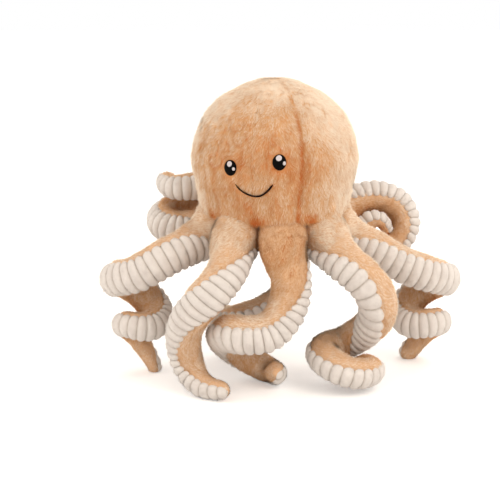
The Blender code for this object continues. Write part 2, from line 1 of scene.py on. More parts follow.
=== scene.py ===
"""Plush octopus: short fur, ribbed plush, stitched face and pale studio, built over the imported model."""
import math

import bpy
import numpy as np
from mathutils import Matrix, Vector


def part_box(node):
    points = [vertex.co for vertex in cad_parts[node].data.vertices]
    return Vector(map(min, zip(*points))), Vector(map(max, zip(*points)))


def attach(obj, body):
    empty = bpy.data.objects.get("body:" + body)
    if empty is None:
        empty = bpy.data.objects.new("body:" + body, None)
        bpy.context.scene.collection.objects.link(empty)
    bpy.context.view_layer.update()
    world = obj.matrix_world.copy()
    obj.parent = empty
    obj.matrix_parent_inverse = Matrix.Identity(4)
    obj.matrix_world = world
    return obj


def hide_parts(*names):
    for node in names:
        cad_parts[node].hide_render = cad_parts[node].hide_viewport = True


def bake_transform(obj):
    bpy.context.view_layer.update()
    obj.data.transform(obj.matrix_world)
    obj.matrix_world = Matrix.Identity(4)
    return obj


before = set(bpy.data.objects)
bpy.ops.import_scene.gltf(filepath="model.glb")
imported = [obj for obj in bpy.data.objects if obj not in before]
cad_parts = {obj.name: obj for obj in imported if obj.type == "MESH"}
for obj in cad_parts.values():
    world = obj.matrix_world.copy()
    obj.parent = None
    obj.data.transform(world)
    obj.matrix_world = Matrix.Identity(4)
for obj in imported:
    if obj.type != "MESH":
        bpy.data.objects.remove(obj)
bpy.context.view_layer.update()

bl_info = {
    "name": "Plush octopus",
    "version": (1, 0, 0),
    "blender": (4, 5, 0),
    "location": "3D View > Sidebar > Plush octopus",
    "description": "Fur, ribbed plush, stitched face and studio of a plush octopus",
    "category": "Object",
}

# The toy's frame, as the solids have it: shares of the head's radius, degrees.
HEAD_RADIUS = 0.107
HEAD_TOP_SHARE = 0.944
HEAD_FLOOR_SHARE = 0.655
ARM_SHARE = 0.2336
RING_SHARE = 0.682
ROUTE_STEP_SHARE = 0.028
STUB_SHARE = 0.13
ROOT_FADE_SHARE = 0.3
VIEW_TURN = 16.0
COIL_STEP = 45.0
COIL_EVEN_SHARE = 0.35
COIL_TAPER_POWER = 2.6
LEAN_IN = 0.5
SMOOTH_PASSES = 32
SPLINE_STEPS = 12
SETTLE_PASSES = 6
SEAM_ANGLES = (-34.0, 34.0, 131.3, 228.7, 326.0)
GORES = ("front", "right", "back", "left")

# Profile of the head under its widest line, then the crown as an ellipse.
UNDER_PROFILE_SHARES = ((-0.683, 0.757), (-0.668, 0.812), (-0.59, 0.872), (-0.42, 0.937), (-0.2, 0.986))
CROWN_ANGLES = (0.0, 15.0, 30.0, 44.0, 57.0, 69.0, 79.0, 86.0)

# Face, degrees round from the middle of the face and up from the widest line, with half the width and the
# height of an eye. Highlights take shares of the eye's.
EYE_WIDTH_SHARE, EYE_HEIGHT_SHARE = 0.077, 0.094
EYES = {"eye_left": (-15.7, -2.5), "eye_right": (17.9, 2.5)}
GLINTS = {
    "eye_left_glint_upper": (-15.5, -0.2, 0.42, 0.44),
    "eye_left_glint_lower": (-12.7, -3.0, 0.22, 0.22),
    "eye_right_glint_upper": (17.5, 4.7, 0.44, 0.46),
    "eye_right_glint_lower": (20.7, 1.7, 0.25, 0.25),
}
SMILE = ((-12.1, -13.5), (-9.7, -16.6), (-6.6, -19.1), (-2.7, -21.0), (1.4, -21.8),
         (5.1, -21.3), (8.2, -19.4), (11.3, -16.2), (13.9, -12.4))

# Head's cloth: each seam's dip, its half width in degrees, kept up near the crown, and how far it shows;
# heights, each an end or a start and a width, where seams are gathered, where they fade and where the
# combing changes; the skin's last row and its steps; the gores' bulge between seams and the degrees it
# takes to rise; the depth of the pile over the cloth.
SEAM_DIP_SHARE = 0.055
SEAM_HALF_WIDTH = 4.5
SEAM_NARROW_SHARE = 0.2
SEAM_STRENGTHS = (0.12, 0.8, 0.6, 0.6, 0.12)
SEAM_GATHER = 0.6
GATHER_FALL_SHARES = (-0.25, 0.35)
SEAM_FADE_SHARES = (0.93, 0.25)
CROWN_RISE_SHARES = (0.55, 0.3)
CROWN_END = 0.995
HEAD_COLUMNS, HEAD_ROWS = 300, 120
GORE_BULGE_SHARE = 0.012
GORE_BULGE_ANGLE = 12.0
PILE_DEPTH_SHARE = 0.033

# Where head and arms meet: reach of the soft web between them, how it fades along an arm and slopes off the
# head, straight stretch of a root and its fullness, the arm's stretch near the head, width of the belt that
# shares one shading and that shading's form, the places where two arms and the head meet, and the widths of
# the creases there.
WEB_REACH = 0.034
WEB_FADE = (0.055, 0.03)
WEB_SLOPE = -0.5
ROOT_GAP = 0.0003
ROOT_STRETCH = 0.03
ROOT_FULLNESS = 1.16
ROOT_NEAR = 0.08
JOIN_WIDTH = 0.011
JOIN_STRETCH, JOIN_RISE = (1.0, 1.0, 0.2), (0.0, 0.0, 0.02)
VALLEY_PLACE_SHARES = (0.87, -0.67)
VALLEY_WIDTH = 0.0095
ROOT_LINE_WIDTH = 0.0035
ROOT_HALO_WIDTH = 0.006

# Arms: step of the middle line, how far the skins run over the round ends, flare at the root and above
# it with their widths, pinch at the seams beside the ribs and its degrees, how the fur closes round the
# arm's start, the fur's fullness and its lap under the ribs' edges in degrees, steps of the skins, samples
# that place the ribs' rows, every how many stations and how many points at once for distances within a
# curl, the panels' depth, how many radii away along the arm another turn starts, and the stretch at the
# root that bends in a pose, in radii there.
ARM_STEP = 0.0012
DOME_REACH = 1.54
ROOT_FLARE, ROOT_FLARE_WIDTH = 0.16, 0.024
TOP_FLARE, TOP_FLARE_PLACE, TOP_FLARE_WIDTH = 0.3, 0.01, 0.018
SEAM_PINCH, SEAM_PINCH_ANGLE = 0.075, 9.0
FUR_CLOSING = (-0.012, 0.022)
FUR_CLOSED_SHARE = 0.3
FUR_FULLNESS = 0.95
FUR_LAP = 4.0
FUR_STEP = 0.0024
FUR_COLUMNS, RIB_COLUMNS = 40, 33
INNER_SKIP = 4
RIB_SAMPLES = 4000
CURL_SKIP, CURL_PART = 6, 20000
PANEL_DEPTH = 0.004
PANEL_THIN_SHARE = 0.3
OWN_TURN = 3.2

# Small steps that give a surface's normals: degrees and rise on the head and the face, metres and degrees
# on an arm.
HEAD_FRAME_STEPS = (0.3, 0.003)
FACE_FRAME_STEPS = (0.5, 0.004)
FUR_FRAME_STEPS = (0.0008, 1.5)
RIB_FRAME_STEPS = (0.0004, 1.0)

# Ribs: half the panel's angle, how square a rib's back and its ends are, bulge over the fur, share of the
# depth left at the tip and beside the seams, scallop of the seam, rows of the mesh on each rib, shift of
# the ribs from an even spacing, and their own pile.
RIB_HALF_ANGLE = 70.0
FUR_EDGE = RIB_HALF_ANGLE - FUR_LAP
RIB_ROUNDNESS = 0.6
RIB_END_ROUNDNESS = 0.35
RIB_BULGE = 0.0018
RIB_THIN_SHARE = 0.35
RIB_EDGE_SHARE = 0.25
RIB_SCALLOP, RIB_SCALLOP_MIDDLE = 0.17, 0.6
# How fast the painted shade between ribs gives way to a crest's colour.
RIB_VALLEY_SLOPE = 3.0
ROWS_PER_RIB = 12
RIB_SHIFTS = ((0.12, 0.03, 71),)
RIB_PILE_SPACING = 0.0016
RIB_PILE_LENGTH = 0.0024
RIB_PILE_WIDTH_SHARE = 0.25
RIB_PILE_LIFT = 0.9
RIB_PILE_STRAY = 0.25
RIB_PILE_START = -0.5
RIB_ROOT_SINK = 0.0003

# Pile: a strand's flatness, how deep its root sinks, how far its shading leans to the cloth's, its darker
# root and paler tip, ranges of length and width, how far it strays from its way, what the crown loses of
# each, the head's cover as a share of a ball's, the highest root, the degrees of an arm that its pile is
# counted for, how far the pile runs on where head and arms overlap (further on the arms, for lowered ones),
# how it keeps clear of the face and shortens near it, and its height over the floor.
STRAND_FLATNESS = 0.6
ROOT_SINK = 0.0006
NORMAL_LEAN = 0.82
ROOT_SHADE = 0.3
TIP_SHINE = 0.1
LENGTH_RANGE = (0.75, 1.15)
WIDTH_RANGE = (0.7, 1.2)
RIB_LENGTH_RANGE = (0.7, 1.2)
STRAY = 0.16
CROWN_STRAY = 0.08
CROWN_SWIRL_LOSS = 0.6
CROWN_LIFT_LOSS = 0.4
ARM_PILE_SHARE = 0.9
PILE_COVER = 0.86
HEAD_SEED, ARM_SEED, RIB_SEED = 100, 200, 300
PILE_TOP = 0.993
PILE_SPAN = 232.0
PILE_OVERLAP = 0.003
PILE_UNDERLAP = 0.011
FACE_CLEARANCE = 0.0006
FACE_ROOT_CLEARANCE = 0.0012
FACE_SHORT_SHARE = 0.45
FACE_SHORT_REACH = 0.012
FACE_REACH_SHARE = 0.6
FACE_DEPTH = 0.02
FLOOR_CLEARANCE = 0.0002
FLOOR_GAP = 0.001

# Lumps of the cloth, swirls and lift of the pile and patches of its tone: strength, size in metres, seed.
# The seeds of patches and partings are counted on from the head's or the arms' own.
HEAD_LUMPS = ((0.0016, 0.035, 11), (0.0008, 0.014, 12))
FUR_LUMPS = ((0.0012, 0.02, 41), (0.0006, 0.009, 42))
RIB_LUMPS = ((0.0005, 0.02, 45), (0.0004, 0.006, 46))
HEAD_SWIRLS = ((0.55, 0.03, 31), (0.5, 0.009, 34))
ARM_SWIRLS = ((0.5, 0.025, 61), (0.5, 0.009, 64))
RIB_SWIRLS = ((0.9, 0.006, 84),)
HEAD_LIFTS = ((0.35, 0.011, 37),)
ARM_LIFTS = ((0.35, 0.011, 67),)
TONE_PATCHES = ((0.1, 0.0042, 0), (0.07, 0.012, 1), (0.05, 0.03, 2))
PATCH_STRETCH = (1.0, 1.0, 0.62)
PARTING_SIZE, PARTING_WIDTH, PARTING_TONE = 0.009, 0.1, 0.24
PARTING_PATCHES = ((0.9, 0.02, 4),)
PARTING_BASE = 0.4
HEAD_MOTTLE, ARM_MOTTLE = 21, 51

# Tone of the fur, 0 deep orange to 1 pale: over the face, more at the sides as painted rim light and at the
# top as painted light from above, less along seams, and less round the roots and in creases as painted shade;
# on the arms, less at the tips and on the front arm's upper stretch, and less in curls and where it faces
# down as painted shade.
FACE_WAY_SHARES = (-0.2, 1.0, -0.2)
FACE_TONE, SIDE_RIM_LIGHT, TOP_LIGHT = 0.54, 0.36, 0.1
SIDE_LIGHT_FALL = (0.93, 0.6)
SEAM_TONE, SEAM_LINE_WIDTH = 0.34, 0.0035
SEAM_PATCHES = ((0.6, 0.008, 28),)
ROOT_HALO_SHADE, CREASE_SHADE, ARM_CREASE_SHADE = 0.1, 0.6, 0.8
CREASE_FADE = (0.05, 0.03)
ARM_TONE, TIP_TONE, FRONT_TONE, CURL_SHADE, UNDER_SHADE = 0.82, 0.08, 0.3, 0.45, 0.12
TIP_RISE_SHARES = (0.45, 0.3)
FRONT_FALL = (0.125, 0.1)
CURL_WIDTH = 0.018
UNDER_FALL = (0.3, 1.0)
CLOTH_TONE, BASE_TONE, CROWN_TONE = 0.5, 0.2, 0.6
TONE_SPREAD = 0.07

# Materials: sockets of a colour mix, by place, since their names repeat; places of the fur's colours over its
# tone and of the ribs' over their patches; sizes of the nap, the patches and the stitches in millimetres,
# coarser than the real ones so that they show; each thread's colour and roughness.
MIX_FIRST, MIX_SECOND, MIX_RESULT = 6, 7, 2
FUR_STOPS = (0.0, 0.4, 0.85)
CLOUD_STOPS = (0.3, 0.7)
NAP_MM, CLOUD_MM, STITCH_MM = 1.4286, 22.222, 1.1111
THREADS = {
    "black_satin_stitch": ("030303", 0.6),
    "white_satin_stitch": ("CFC8CA", 0.5),
    "dark_stem_stitch": ("1E0E08", 0.55),
}

# Stitches: lift of the eyes and of their highlights (shares of the eye's crown), depth of their backs,
# ridge and pitch of the satin stitch; the smile's lift, strands, turns and lobes, its thickness at the left
# end and its growth, how it comes to a point, and the steps of both.
EYE_LIFT = 0.0012
GLINT_LIFT_SHARE, GLINT_CROWN_SHARE = 0.98, 0.45
STITCH_BACK = 0.0008
STITCH_RIDGE, STITCH_PITCH = 0.00012, 0.0008
SMILE_LIFT = 0.0022
SMILE_PLIES, SMILE_TURNS, SMILE_LOBE = 3.0, 26.0, 0.14
SMILE_THIN, SMILE_GROWTH, SMILE_POINT, SMILE_POINT_SLOPE = 0.75, 0.4, 0.25, 12.0
SMILE_ROWS, SMILE_SIDES = 220, 18
OVAL_RINGS, OVAL_SIDES, OVAL_SKIP = 40, 96, 8
OVAL_SHARE = 0.98

# Stage: lamps (place, size, power, colour), where they aim under the head's middle, glow and half width of
# the floor, and the camera's target from the head's middle, its sensor in mm and the range that it sees.
LAMPS = {
    "key": ((1.45, -0.75, 1.5), 1.2, 14.5, "FFF8F0"),
    "fill": ((-1.4, -1.0, 0.8), 1.4, 7.0, "FFFAF5"),
    "rim": ((0.5, 1.4, 1.1), 1.2, 8.0, "FFFFFF"),
}
LAMP_DROP = 0.08
FLOOR_GLOW = 0.3
FLOOR_HALF = 60.0
TARGET_SHARES = (-0.2914, 0.0, -1.1576)
SENSOR_WIDTH = 36.0
CLIP = (0.05, 50.0)

# Each arm: angle of its root and slope of its middle line there, whether it stands, then points on that
# line (right, front, up as shares of the head's radius; thickness as a share of the root's; direction of
# the ribs), then a curl: middle right and front, top, radius at start and end, drop, end thickness, how
# far its right and its front side lie higher, first angle and turn in degrees, how late it drops, and how
# far the ribs look down there.
ARMS = {
    "arm_left": {
        "angle": -83.5, "slope": -24.0, "stands": True,
        "lead_shares": (
            (-0.940, 0.150, -1.005, 1.00, 0.0, 0.7, -0.7),
            (-1.070, 0.280, -1.050, 0.98, 0.0, 0.95, -0.35),
            (-1.326, 0.370, -1.150, 0.96, 0.0, 1.0, -0.2),
        ),
        "coil_shares": (-1.640, 0.110, -1.300, 0.278, 0.172, 0.990, 0.36), "lean_shares": (-0.13, 0.0),
        "coil_turn": (80.0, 620.0), "coil_fall": 1.0, "coil_tilt": -0.1,
    },
    "arm_front_left": {
        "angle": -38.5, "slope": -34.0, "stands": True,
        "lead_shares": (
            (-0.505, 0.775, -1.110, 1.00, 0.6, 0.1, -0.7),
            (-0.581, 0.916, -1.253, 0.98, 0.6, 0.6, -0.4),
            (-0.783, 1.009, -1.498, 0.96, -0.1, 1.0, -0.2),
            (-0.994, 0.935, -1.765, 0.92, -1.0, 0.4, 0.0),
            (-1.064, 0.785, -2.084, 0.86, -1.0, -0.1, -0.1),
            (-1.022, 0.766, -2.333, 0.78, -1.0, -0.2, -0.3),
            (-0.913, 0.879, -2.491, 0.68, -0.8, 0.3, -0.4),
            (-0.780, 1.028, -2.548, 0.56, -0.5, 0.6, -0.5),
            (-0.616, 1.140, -2.533, 0.40, 0.1, 1.0, -0.3),
        ),
    },
    "arm_front": {
        "angle": 6.5, "slope": -66.0, "stands": True,
        "lead_shares": (
            (0.138, 0.770, -1.120, 1.00, 0.2, -1.0, -0.2),
            (0.172, 0.800, -1.270, 1.00, 0.6, -0.8, 0.0),
            (0.180, 0.815, -1.490, 0.98, 1.0, -0.3, -0.1),
            (0.115, 0.880, -1.700, 0.96, 1.0, 0.3, -0.4),
        ),
        "coil_shares": (-0.265, 0.650, -1.930, 0.380, 0.270, 0.500, 0.56), "lean_shares": (-0.10, 0.20),
        "coil_turn": (62.0, 305.0), "coil_fall": 1.0, "coil_tilt": -0.7,
    },
    "arm_front_right": {
        "angle": 51.5, "slope": -34.0, "stands": True,
        "lead_shares": (
            (0.700, 0.605, -1.065, 1.00, -0.3, 0.3, -0.9),
            (0.863, 0.729, -1.180, 1.00, -0.5, 0.8, -0.6),
            (1.078, 0.785, -1.355, 0.98, -0.8, 0.6, -0.5),
            (1.210, 0.729, -1.607, 0.97, -0.95, 0.35, -0.3),
            (1.180, 0.530, -1.880, 0.90, -0.8, 0.5, -0.4),
            (0.990, 0.345, -2.100, 0.85, 0.2, 0.3, -0.9),
        ),
        "coil_shares": (0.900, 0.640, -2.230, 0.385, 0.200, 0.420, 0.46), "lean_shares": (0.0, -0.11),
        "coil_turn": (-110.0, -350.0), "coil_fall": 3.0, "coil_tilt": -0.8,
    },
    "arm_right": {
        "angle": 96.5, "slope": -22.0, "stands": True,
        "lead_shares": (
            (0.958, -0.095, -1.037, 1.00, 0.0, 0.5, -0.8),
            (1.229, -0.075, -1.149, 1.00, 0.0, 0.9, -0.5),
            (1.516, -0.093, -1.304, 0.96, 0.0, 1.0, -0.4),
        ),
        "coil_shares": (1.885, -0.336, -1.430, 0.254, 0.205, 0.990, 0.50), "lean_shares": (0.13, 0.0),
        "coil_turn": (100.0, -590.0), "coil_fall": 1.0, "coil_tilt": -0.1,
    },
    "arm_back_right": {
        "angle": 141.5, "slope": -6.0, "stands": False,
        "lead_shares": (
            (0.670, -0.810, -0.935, 0.98, -0.6, -0.5, -0.6),
            (0.870, -0.970, -0.865, 0.96, -0.6, -0.5, 0.5),
            (1.090, -1.060, -0.735, 0.92, -0.4, -0.1, 1.0),
            (1.365, -1.090, -0.675, 0.88, 0.1, 0.0, 1.0),
            (1.650, -1.060, -0.780, 0.84, 0.7, 0.0, 0.7),
            (1.740, -0.990, -1.040, 0.80, 1.0, 0.0, 0.0),
            (1.590, -0.900, -1.275, 0.72, 0.5, 0.0, -0.9),
            (1.311, -0.830, -1.280, 0.68, -0.5, 0.0, -0.9),
            (1.150, -0.790, -1.080, 0.60, -1.0, 0.0, 0.1),
            (1.243, -0.770, -0.900, 0.50, -0.3, 0.2, 1.0),
            (1.413, -0.790, -0.915, 0.40, 0.5, 0.2, 1.0),
            (1.460, -0.815, -1.040, 0.32, 0.9, 0.2, 0.0),
        ),
    },
    "arm_back_left": {
        "angle": -128.5, "slope": -8.0, "stands": False,
        "lead_shares": (
            (-0.841, -0.580, -0.965, 0.96, 0.0, 0.5, -0.8),
            (-1.080, -0.600, -1.000, 0.94, 0.0, 1.0, -0.3),
        ),
        "coil_shares": (-1.150, -0.840, -1.020, 0.280, 0.200, -0.680, 0.56), "lean_shares": (0.11, 0.0),
        "coil_turn": (95.0, 450.0), "coil_fall": 1.0, "coil_tilt": -0.1,
    },
    "arm_back": {
        "angle": -173.5, "slope": -48.0, "stands": True,
        "lead_shares": (
            (0.020, -0.860, -1.130, 1.00, 0.0, 1.0, -0.4),
            (0.190, -0.830, -1.360, 1.00, 0.2, 1.0, -0.3),
            (0.260, -0.660, -1.640, 0.98, 0.3, 1.0, -0.2),
            (0.180, -0.450, -1.890, 0.96, 0.4, 1.0, -0.2),
        ),
        "coil_shares": (-0.400, -0.449, -2.080, 0.262, 0.200, 0.500, 0.40), "lean_shares": (-0.08, 0.0),
        "coil_turn": (60.0, 420.0), "coil_fall": 1.0, "coil_tilt": -0.3,
    },
}


def head_middle():
    """Middle of the head's widest line, from the flat panel under it."""
    low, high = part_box("base_panel")
    return np.array([(low[0] + high[0]) / 2.0, (low[1] + high[1]) / 2.0,
                     high[2] + HEAD_FLOOR_SHARE * HEAD_RADIUS])


MIDDLE = head_middle()
BASE_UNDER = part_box("base_panel")[0][2]


def measure(name, text, default, low=0.0, high=1.0):
    """A length in metres among the settings."""
    return bpy.props.FloatProperty(name=name, description=text, default=default, min=low, max=high,
                                   unit="LENGTH")


def number(name, text, default, low=-360.0, high=360.0):
    """A plain number among the settings."""
    return bpy.props.FloatProperty(name=name, description=text, default=default, min=low, max=high)


def hex_colour(name, text, default):
    """An sRGB hex colour among the settings."""
    return bpy.props.StringProperty(name=name, description=text, default=default)


class PileSettings(bpy.types.PropertyGroup):
    """Size and colour of the fur's pile."""
    length: measure("Length", "Length of a strand", 0.0066, 0.001, 0.03)
    width: measure("Width", "Width of a strand at its root", 0.00075, 0.0002, 0.003)
    spacing: measure("Spacing", "Mean distance between strands", 0.00125, 0.0006, 0.01)
    lift: number("Lift", "How far strands stand off the cloth", 0.48, 0.05, 1.0)
    # Deep is the colour of the painted shade in creases, curls and undersides; pale that of the tips and of
    # the painted light round the head's sides and crown.
    deep: hex_colour("Deep", "Colour in creases", "BE6A38")
    middle: hex_colour("Middle", "Main colour", "D29E6E")
    pale: hex_colour("Pale", "Colour of brushed tips", "F7E5D0")


class RibSettings(bpy.types.PropertyGroup):
    """Size and colour of the ribbed plush."""
    pitch: measure("Pitch", "Distance between ribs", 0.0134, 0.004, 0.04)
    depth: measure("Depth", "Depth between ribs", 0.0036, 0.0, 0.01)
    colour: hex_colour("Colour", "Colour of the pile", "E1DBD6")
    shade: hex_colour("Shade", "Colour of its duller patches", "D7D0CB")
    # The valley colour is painted shade between the ribs.
    valley: hex_colour("Valley", "Colour between ribs", "C3B9B0")


class FaceSettings(bpy.types.PropertyGroup):
    """Sizes of the stitched face."""
    half_width: measure("Eye half width", "Half the width of an eye", EYE_WIDTH_SHARE * HEAD_RADIUS)
    half_height: measure("Eye half height", "Half the height of an eye", EYE_HEIGHT_SHARE * HEAD_RADIUS)
    crown: measure("Crown", "How far an eye stands off the cloth", 0.0034)
    thread: measure("Thread", "Radius of the smile's thread", 0.0011)


class StageSettings(bpy.types.PropertyGroup):
    """Camera of the stage."""
    azimuth: number("Azimuth", "Camera's turn, degrees", 16.0)
    elevation: number("Elevation", "Camera's rise, degrees", 12.0)
    distance: measure("Distance", "Camera to target", 1.4, 0.1, 100.0)
    lens: number("Lens", "Focal length, mm", 77.54, 1.0)


def linear(text):
    """An sRGB hex colour as linear red, green, blue and 1."""
    parts = [int(text[i:i + 2], 16) / 255.0 for i in (0, 2, 4)]
    return tuple(c / 12.92 if c <= 0.04045 else ((c + 0.055) / 1.055) ** 2.4 for c in parts) + (1.0,)


def turned(points, degrees):
    """Points turned about the upright axis."""
    angle = math.radians(degrees)
    rotation = np.array([[math.cos(angle), math.sin(angle), 0.0],
                         [-math.sin(angle), math.cos(angle), 0.0],
                         [0.0, 0.0, 1.0]])
    return np.asarray(points, float) @ rotation


def place(shares):
    """Right, front and up, turned to the toy's own frame, with the face to -Y."""
    return turned(np.array(shares, float) * (1.0, -1.0, 1.0), VIEW_TURN)


def unit(vectors):
    """Vectors of length one."""
    return vectors / np.maximum(np.linalg.norm(vectors, axis=-1, keepdims=True), 1e-12)


def noise(points, size, seed):
    """Smooth noise from -1 to 1: a random value at each corner of a cubic lattice of the given size,
    blended between corners by 3t^2 - 2t^3."""
    scaled = points / size
    cell = np.floor(scaled).astype(np.int64)
    part = scaled - cell
    part = part * part * (3.0 - 2.0 * part)
    total = np.zeros(len(points))
    for corner in range(8):
        step = np.array([corner & 1, corner >> 1 & 1, corner >> 2 & 1])
        at = cell + step
        key = (at[:, 0] * 73856093) ^ (at[:, 1] * 19349663) ^ (at[:, 2] * 83492791) ^ (seed * 40503)
        key = (key ^ (key >> 13)) * 1274126177 & 0x7FFFFFFF
        value = ((key ^ (key >> 15)) & 0xFFFF) / 32767.5 - 1.0
        total += value * np.prod(np.where(step == 1, part, 1.0 - part), axis=1)
    return total


def noise_vectors(points, size, seed):
    """Three noises side by side, as a field of directions."""
    return np.stack([noise(points, size, seed + k) for k in range(3)], axis=1)


def layered(field, points, rows, seed=0):
    """Noises added up: each row gives a strength, a size and a seed of its own, counted on from seed."""
    return sum(strength * field(points, size, seed + own) for strength, size, own in rows)


def bell(distance, width):
    """1 at no distance, falling off on both sides as exp(-(distance / width)^2)."""
    return np.exp(-(distance / width) ** 2)


def halo(distance, width):
    """1 inside, where the distance is negative, falling off outside as a bell."""
    return bell(np.maximum(distance, 0.0), width)


def rising(value, start, width):
    """0 up to start, then a straight rise to 1 over width."""
    return np.clip((value - start) / width, 0.0, 1.0)


def falling(value, end, width):
    """1 until width before end, then a straight fall to 0 at end."""
    return np.clip((end - value) / width, 0.0, 1.0)


def spline(rows):
    """A smooth curve through the rows, with the same number of steps between each two."""
    rows = np.vstack([2.0 * rows[0] - rows[1], rows, 2.0 * rows[-1] - rows[-2]])
    parts = []
    t = np.linspace(0.0, 1.0, SPLINE_STEPS, endpoint=False)[:, None]
    for i in range(1, len(rows) - 2):
        a, b, c, d = rows[i - 1], rows[i], rows[i + 1], rows[i + 2]
        parts.append(0.5 * (2.0 * b + (c - a) * t + (2.0 * a - 5.0 * b + 4.0 * c - d) * t ** 2
                            + (3.0 * b - a - 3.0 * c + d) * t ** 3))
    parts.append(rows[-2][None])
    return np.vstack(parts)


def resample(rows, count):
    """The same curve with an even spacing."""
    along = np.r_[0.0, np.cumsum(np.linalg.norm(np.diff(rows[:, :3], axis=0), axis=1))]
    marks = np.linspace(0.0, along[-1], count + 1)
    return np.stack([np.interp(marks, along, rows[:, k]) for k in range(rows.shape[1])], axis=1)


def curve_length(rows):
    """Length of a curve."""
    return float(np.linalg.norm(np.diff(rows[:, :3], axis=0), axis=1).sum())


def mesh_piece(name, points, quads, triangles, material, tone=None):
    """A mesh object from whole arrays: points, four-sided faces, then three-sided ones."""
    mesh = bpy.data.meshes.new(name)
    quads = np.asarray(quads, np.int32).reshape(-1, 4)
    triangles = np.asarray(triangles, np.int32).reshape(-1, 3)
    corners = np.concatenate([quads.ravel(), triangles.ravel()])
    sizes = np.concatenate([np.full(len(quads), 4), np.full(len(triangles), 3)])
    starts = np.concatenate([[0], np.cumsum(sizes)[:-1]]).astype(np.int32)
    mesh.vertices.add(len(points))
    mesh.vertices.foreach_set("co", np.asarray(points, np.float32).ravel())
    mesh.loops.add(len(corners))
    mesh.loops.foreach_set("vertex_index", corners)
    mesh.polygons.add(len(sizes))
    mesh.polygons.foreach_set("loop_start", starts)
    mesh.polygons.foreach_set("use_smooth", np.full(len(sizes), True))
    mesh.update(calc_edges=True)
    mesh.validate()
    if tone is not None:
        layer = mesh.attributes.new("tone", "FLOAT", "POINT")
        layer.data.foreach_set("value", np.asarray(tone, np.float32))
    mesh.materials.append(material)
    item = bpy.data.objects.new(name, mesh)
    bpy.context.scene.collection.objects.link(item)
    return item


def closed_shell(name, rings, first, last, material, tone=None):
    """A closed mesh from rows of rings of points, shut by a fan to a point at each end, with its faces
    turned outwards."""
    rows, columns = rings.shape[:2]
    count = rows * columns
    i, k = np.arange(rows - 1)[:, None] * columns, np.arange(columns)[None, :]
    m = (k + 1) % columns
    quads = np.stack([i + k, i + m, i + columns + m, i + columns + k], axis=-1).reshape(-1, 4)
    ring = np.arange(columns)
    after = np.roll(ring, -1)
    top = count - columns
    fans = np.concatenate([np.stack([after, ring, np.full(columns, count)], axis=1),
                           np.stack([top + ring, top + after, np.full(columns, count + 1)], axis=1)])
    points = np.vstack([rings.reshape(-1, 3), first, last])
    item = mesh_piece(name, points, quads, fans, material, tone)
    outward(item)
    return item


def outward(item):
    """Turn a closed mesh's faces outwards where they point in, judged by its volume's sign."""
    mesh = item.data
    mesh.calc_loop_triangles()
    points = np.empty(len(mesh.vertices) * 3)
    mesh.vertices.foreach_get("co", points)
    points = points.reshape(-1, 3)
    points = points - points.mean(axis=0)
    corners = np.empty(len(mesh.loop_triangles) * 3, np.int32)
    mesh.loop_triangles.foreach_get("vertices", corners)
    a, b, c = points[corners.reshape(-1, 3)].transpose(1, 0, 2)
    if (np.cross(a, b) * c).sum() < 0.0:
        mesh.flip_normals()


def strands(name, material, sink, keep, *fields):
    """Pile: each strand is a closed, flat, three-sided spike from a small triangle at its root to a point,
    its ridge away from the cloth. Its tone runs from tones at the root, a little darker, to a paler tip.
    Its shading leans towards the given directions, as light that passes from strand to strand does.
    Only the strands marked in keep are made, their roots sunk into the cloth."""
    roots, normals, shading, ways, lengths, widths, tones = (field[keep] for field in fields)
    roots = roots - normals * sink
    count = len(roots)
    side = unit(np.cross(ways, normals)) * widths[:, None] / 2.0
    ridge = np.cross(side, ways) * STRAND_FLATNESS
    points = np.empty((count, 4, 3))
    for k, off in enumerate((-side, ridge, side)):
        points[:, k] = roots + off
    points[:, 3] = roots + ways * lengths[:, None]
    points[:, 3, 2] = np.maximum(points[:, 3, 2], FLOOR_CLEARANCE)
    base = 4 * np.arange(count)[:, None]
    faces = np.concatenate([base + (0, 1, 3), base + (1, 2, 3), base + (2, 0, 3), base + (0, 2, 1)])
    tone = np.repeat(tones[:, None], 4, axis=1)
    tone[:, :3] -= ROOT_SHADE
    tone[:, 3] += TIP_SHINE
    item = mesh_piece(name, points.reshape(-1, 3), np.zeros((0, 4)), faces, material, tone.ravel())
    own = points - points.mean(axis=1, keepdims=True)
    own[:, 3] = shading
    shown = unit(NORMAL_LEAN * shading[:, None] + (1.0 - NORMAL_LEAN) * unit(own))
    item.data.normals_split_custom_set_from_vertices(shown.reshape(-1, 3).astype(np.float32))
    item.visible_shadow = False
    return item


def add(owner, kind, settings=(), *sockets, **links):
    """A node with its settings. Sockets feed its inputs in their order; each link names an input and gives
    the socket that feeds it."""
    tree = owner.node_tree
    node = tree.nodes.new(kind)
    for key, value in dict(settings).items():
        if key in node.inputs:
            node.inputs[key].default_value = value
        else:
            setattr(node, key, value)
    for source, target in zip(sockets, node.inputs):
        tree.links.new(source, target)
    for key, source in links.items():
        tree.links.new(source, node.inputs[key.replace("_", " ")])
    return node


def new_material(name):
    """A material with an empty node tree and its output."""
    material = bpy.data.materials.new(name)
    material.use_nodes = True
    material.node_tree.nodes.clear()
    return material


def fur_material(name):
    """Faux rabbit fur, polyester pile brushed and heat set: matt, pale at its tips and where its tone holds
    painted light, deep orange in creases and curls, where it holds painted shade.
    """
    pile = bpy.context.scene.octopus_pile
    material = new_material(name)
    tone = add(material, "ShaderNodeAttribute", {"attribute_name": "tone"})
    ramp = add(material, "ShaderNodeValToRGB", Fac=tone.outputs["Fac"])
    stops = ramp.color_ramp.elements
    stops[0].position, stops[0].color = FUR_STOPS[0], linear(pile.deep)
    stops[1].position, stops[1].color = FUR_STOPS[2], linear(pile.pale)
    stops.new(FUR_STOPS[1]).color = linear(pile.middle)
    shader = add(material, "ShaderNodeBsdfPrincipled",
                 {"Roughness": 0.9, "Specular IOR Level": 0.0}, Base_Color=ramp.outputs["Color"])
    add(material, "ShaderNodeOutputMaterial", {}, shader.outputs[0])
    return material


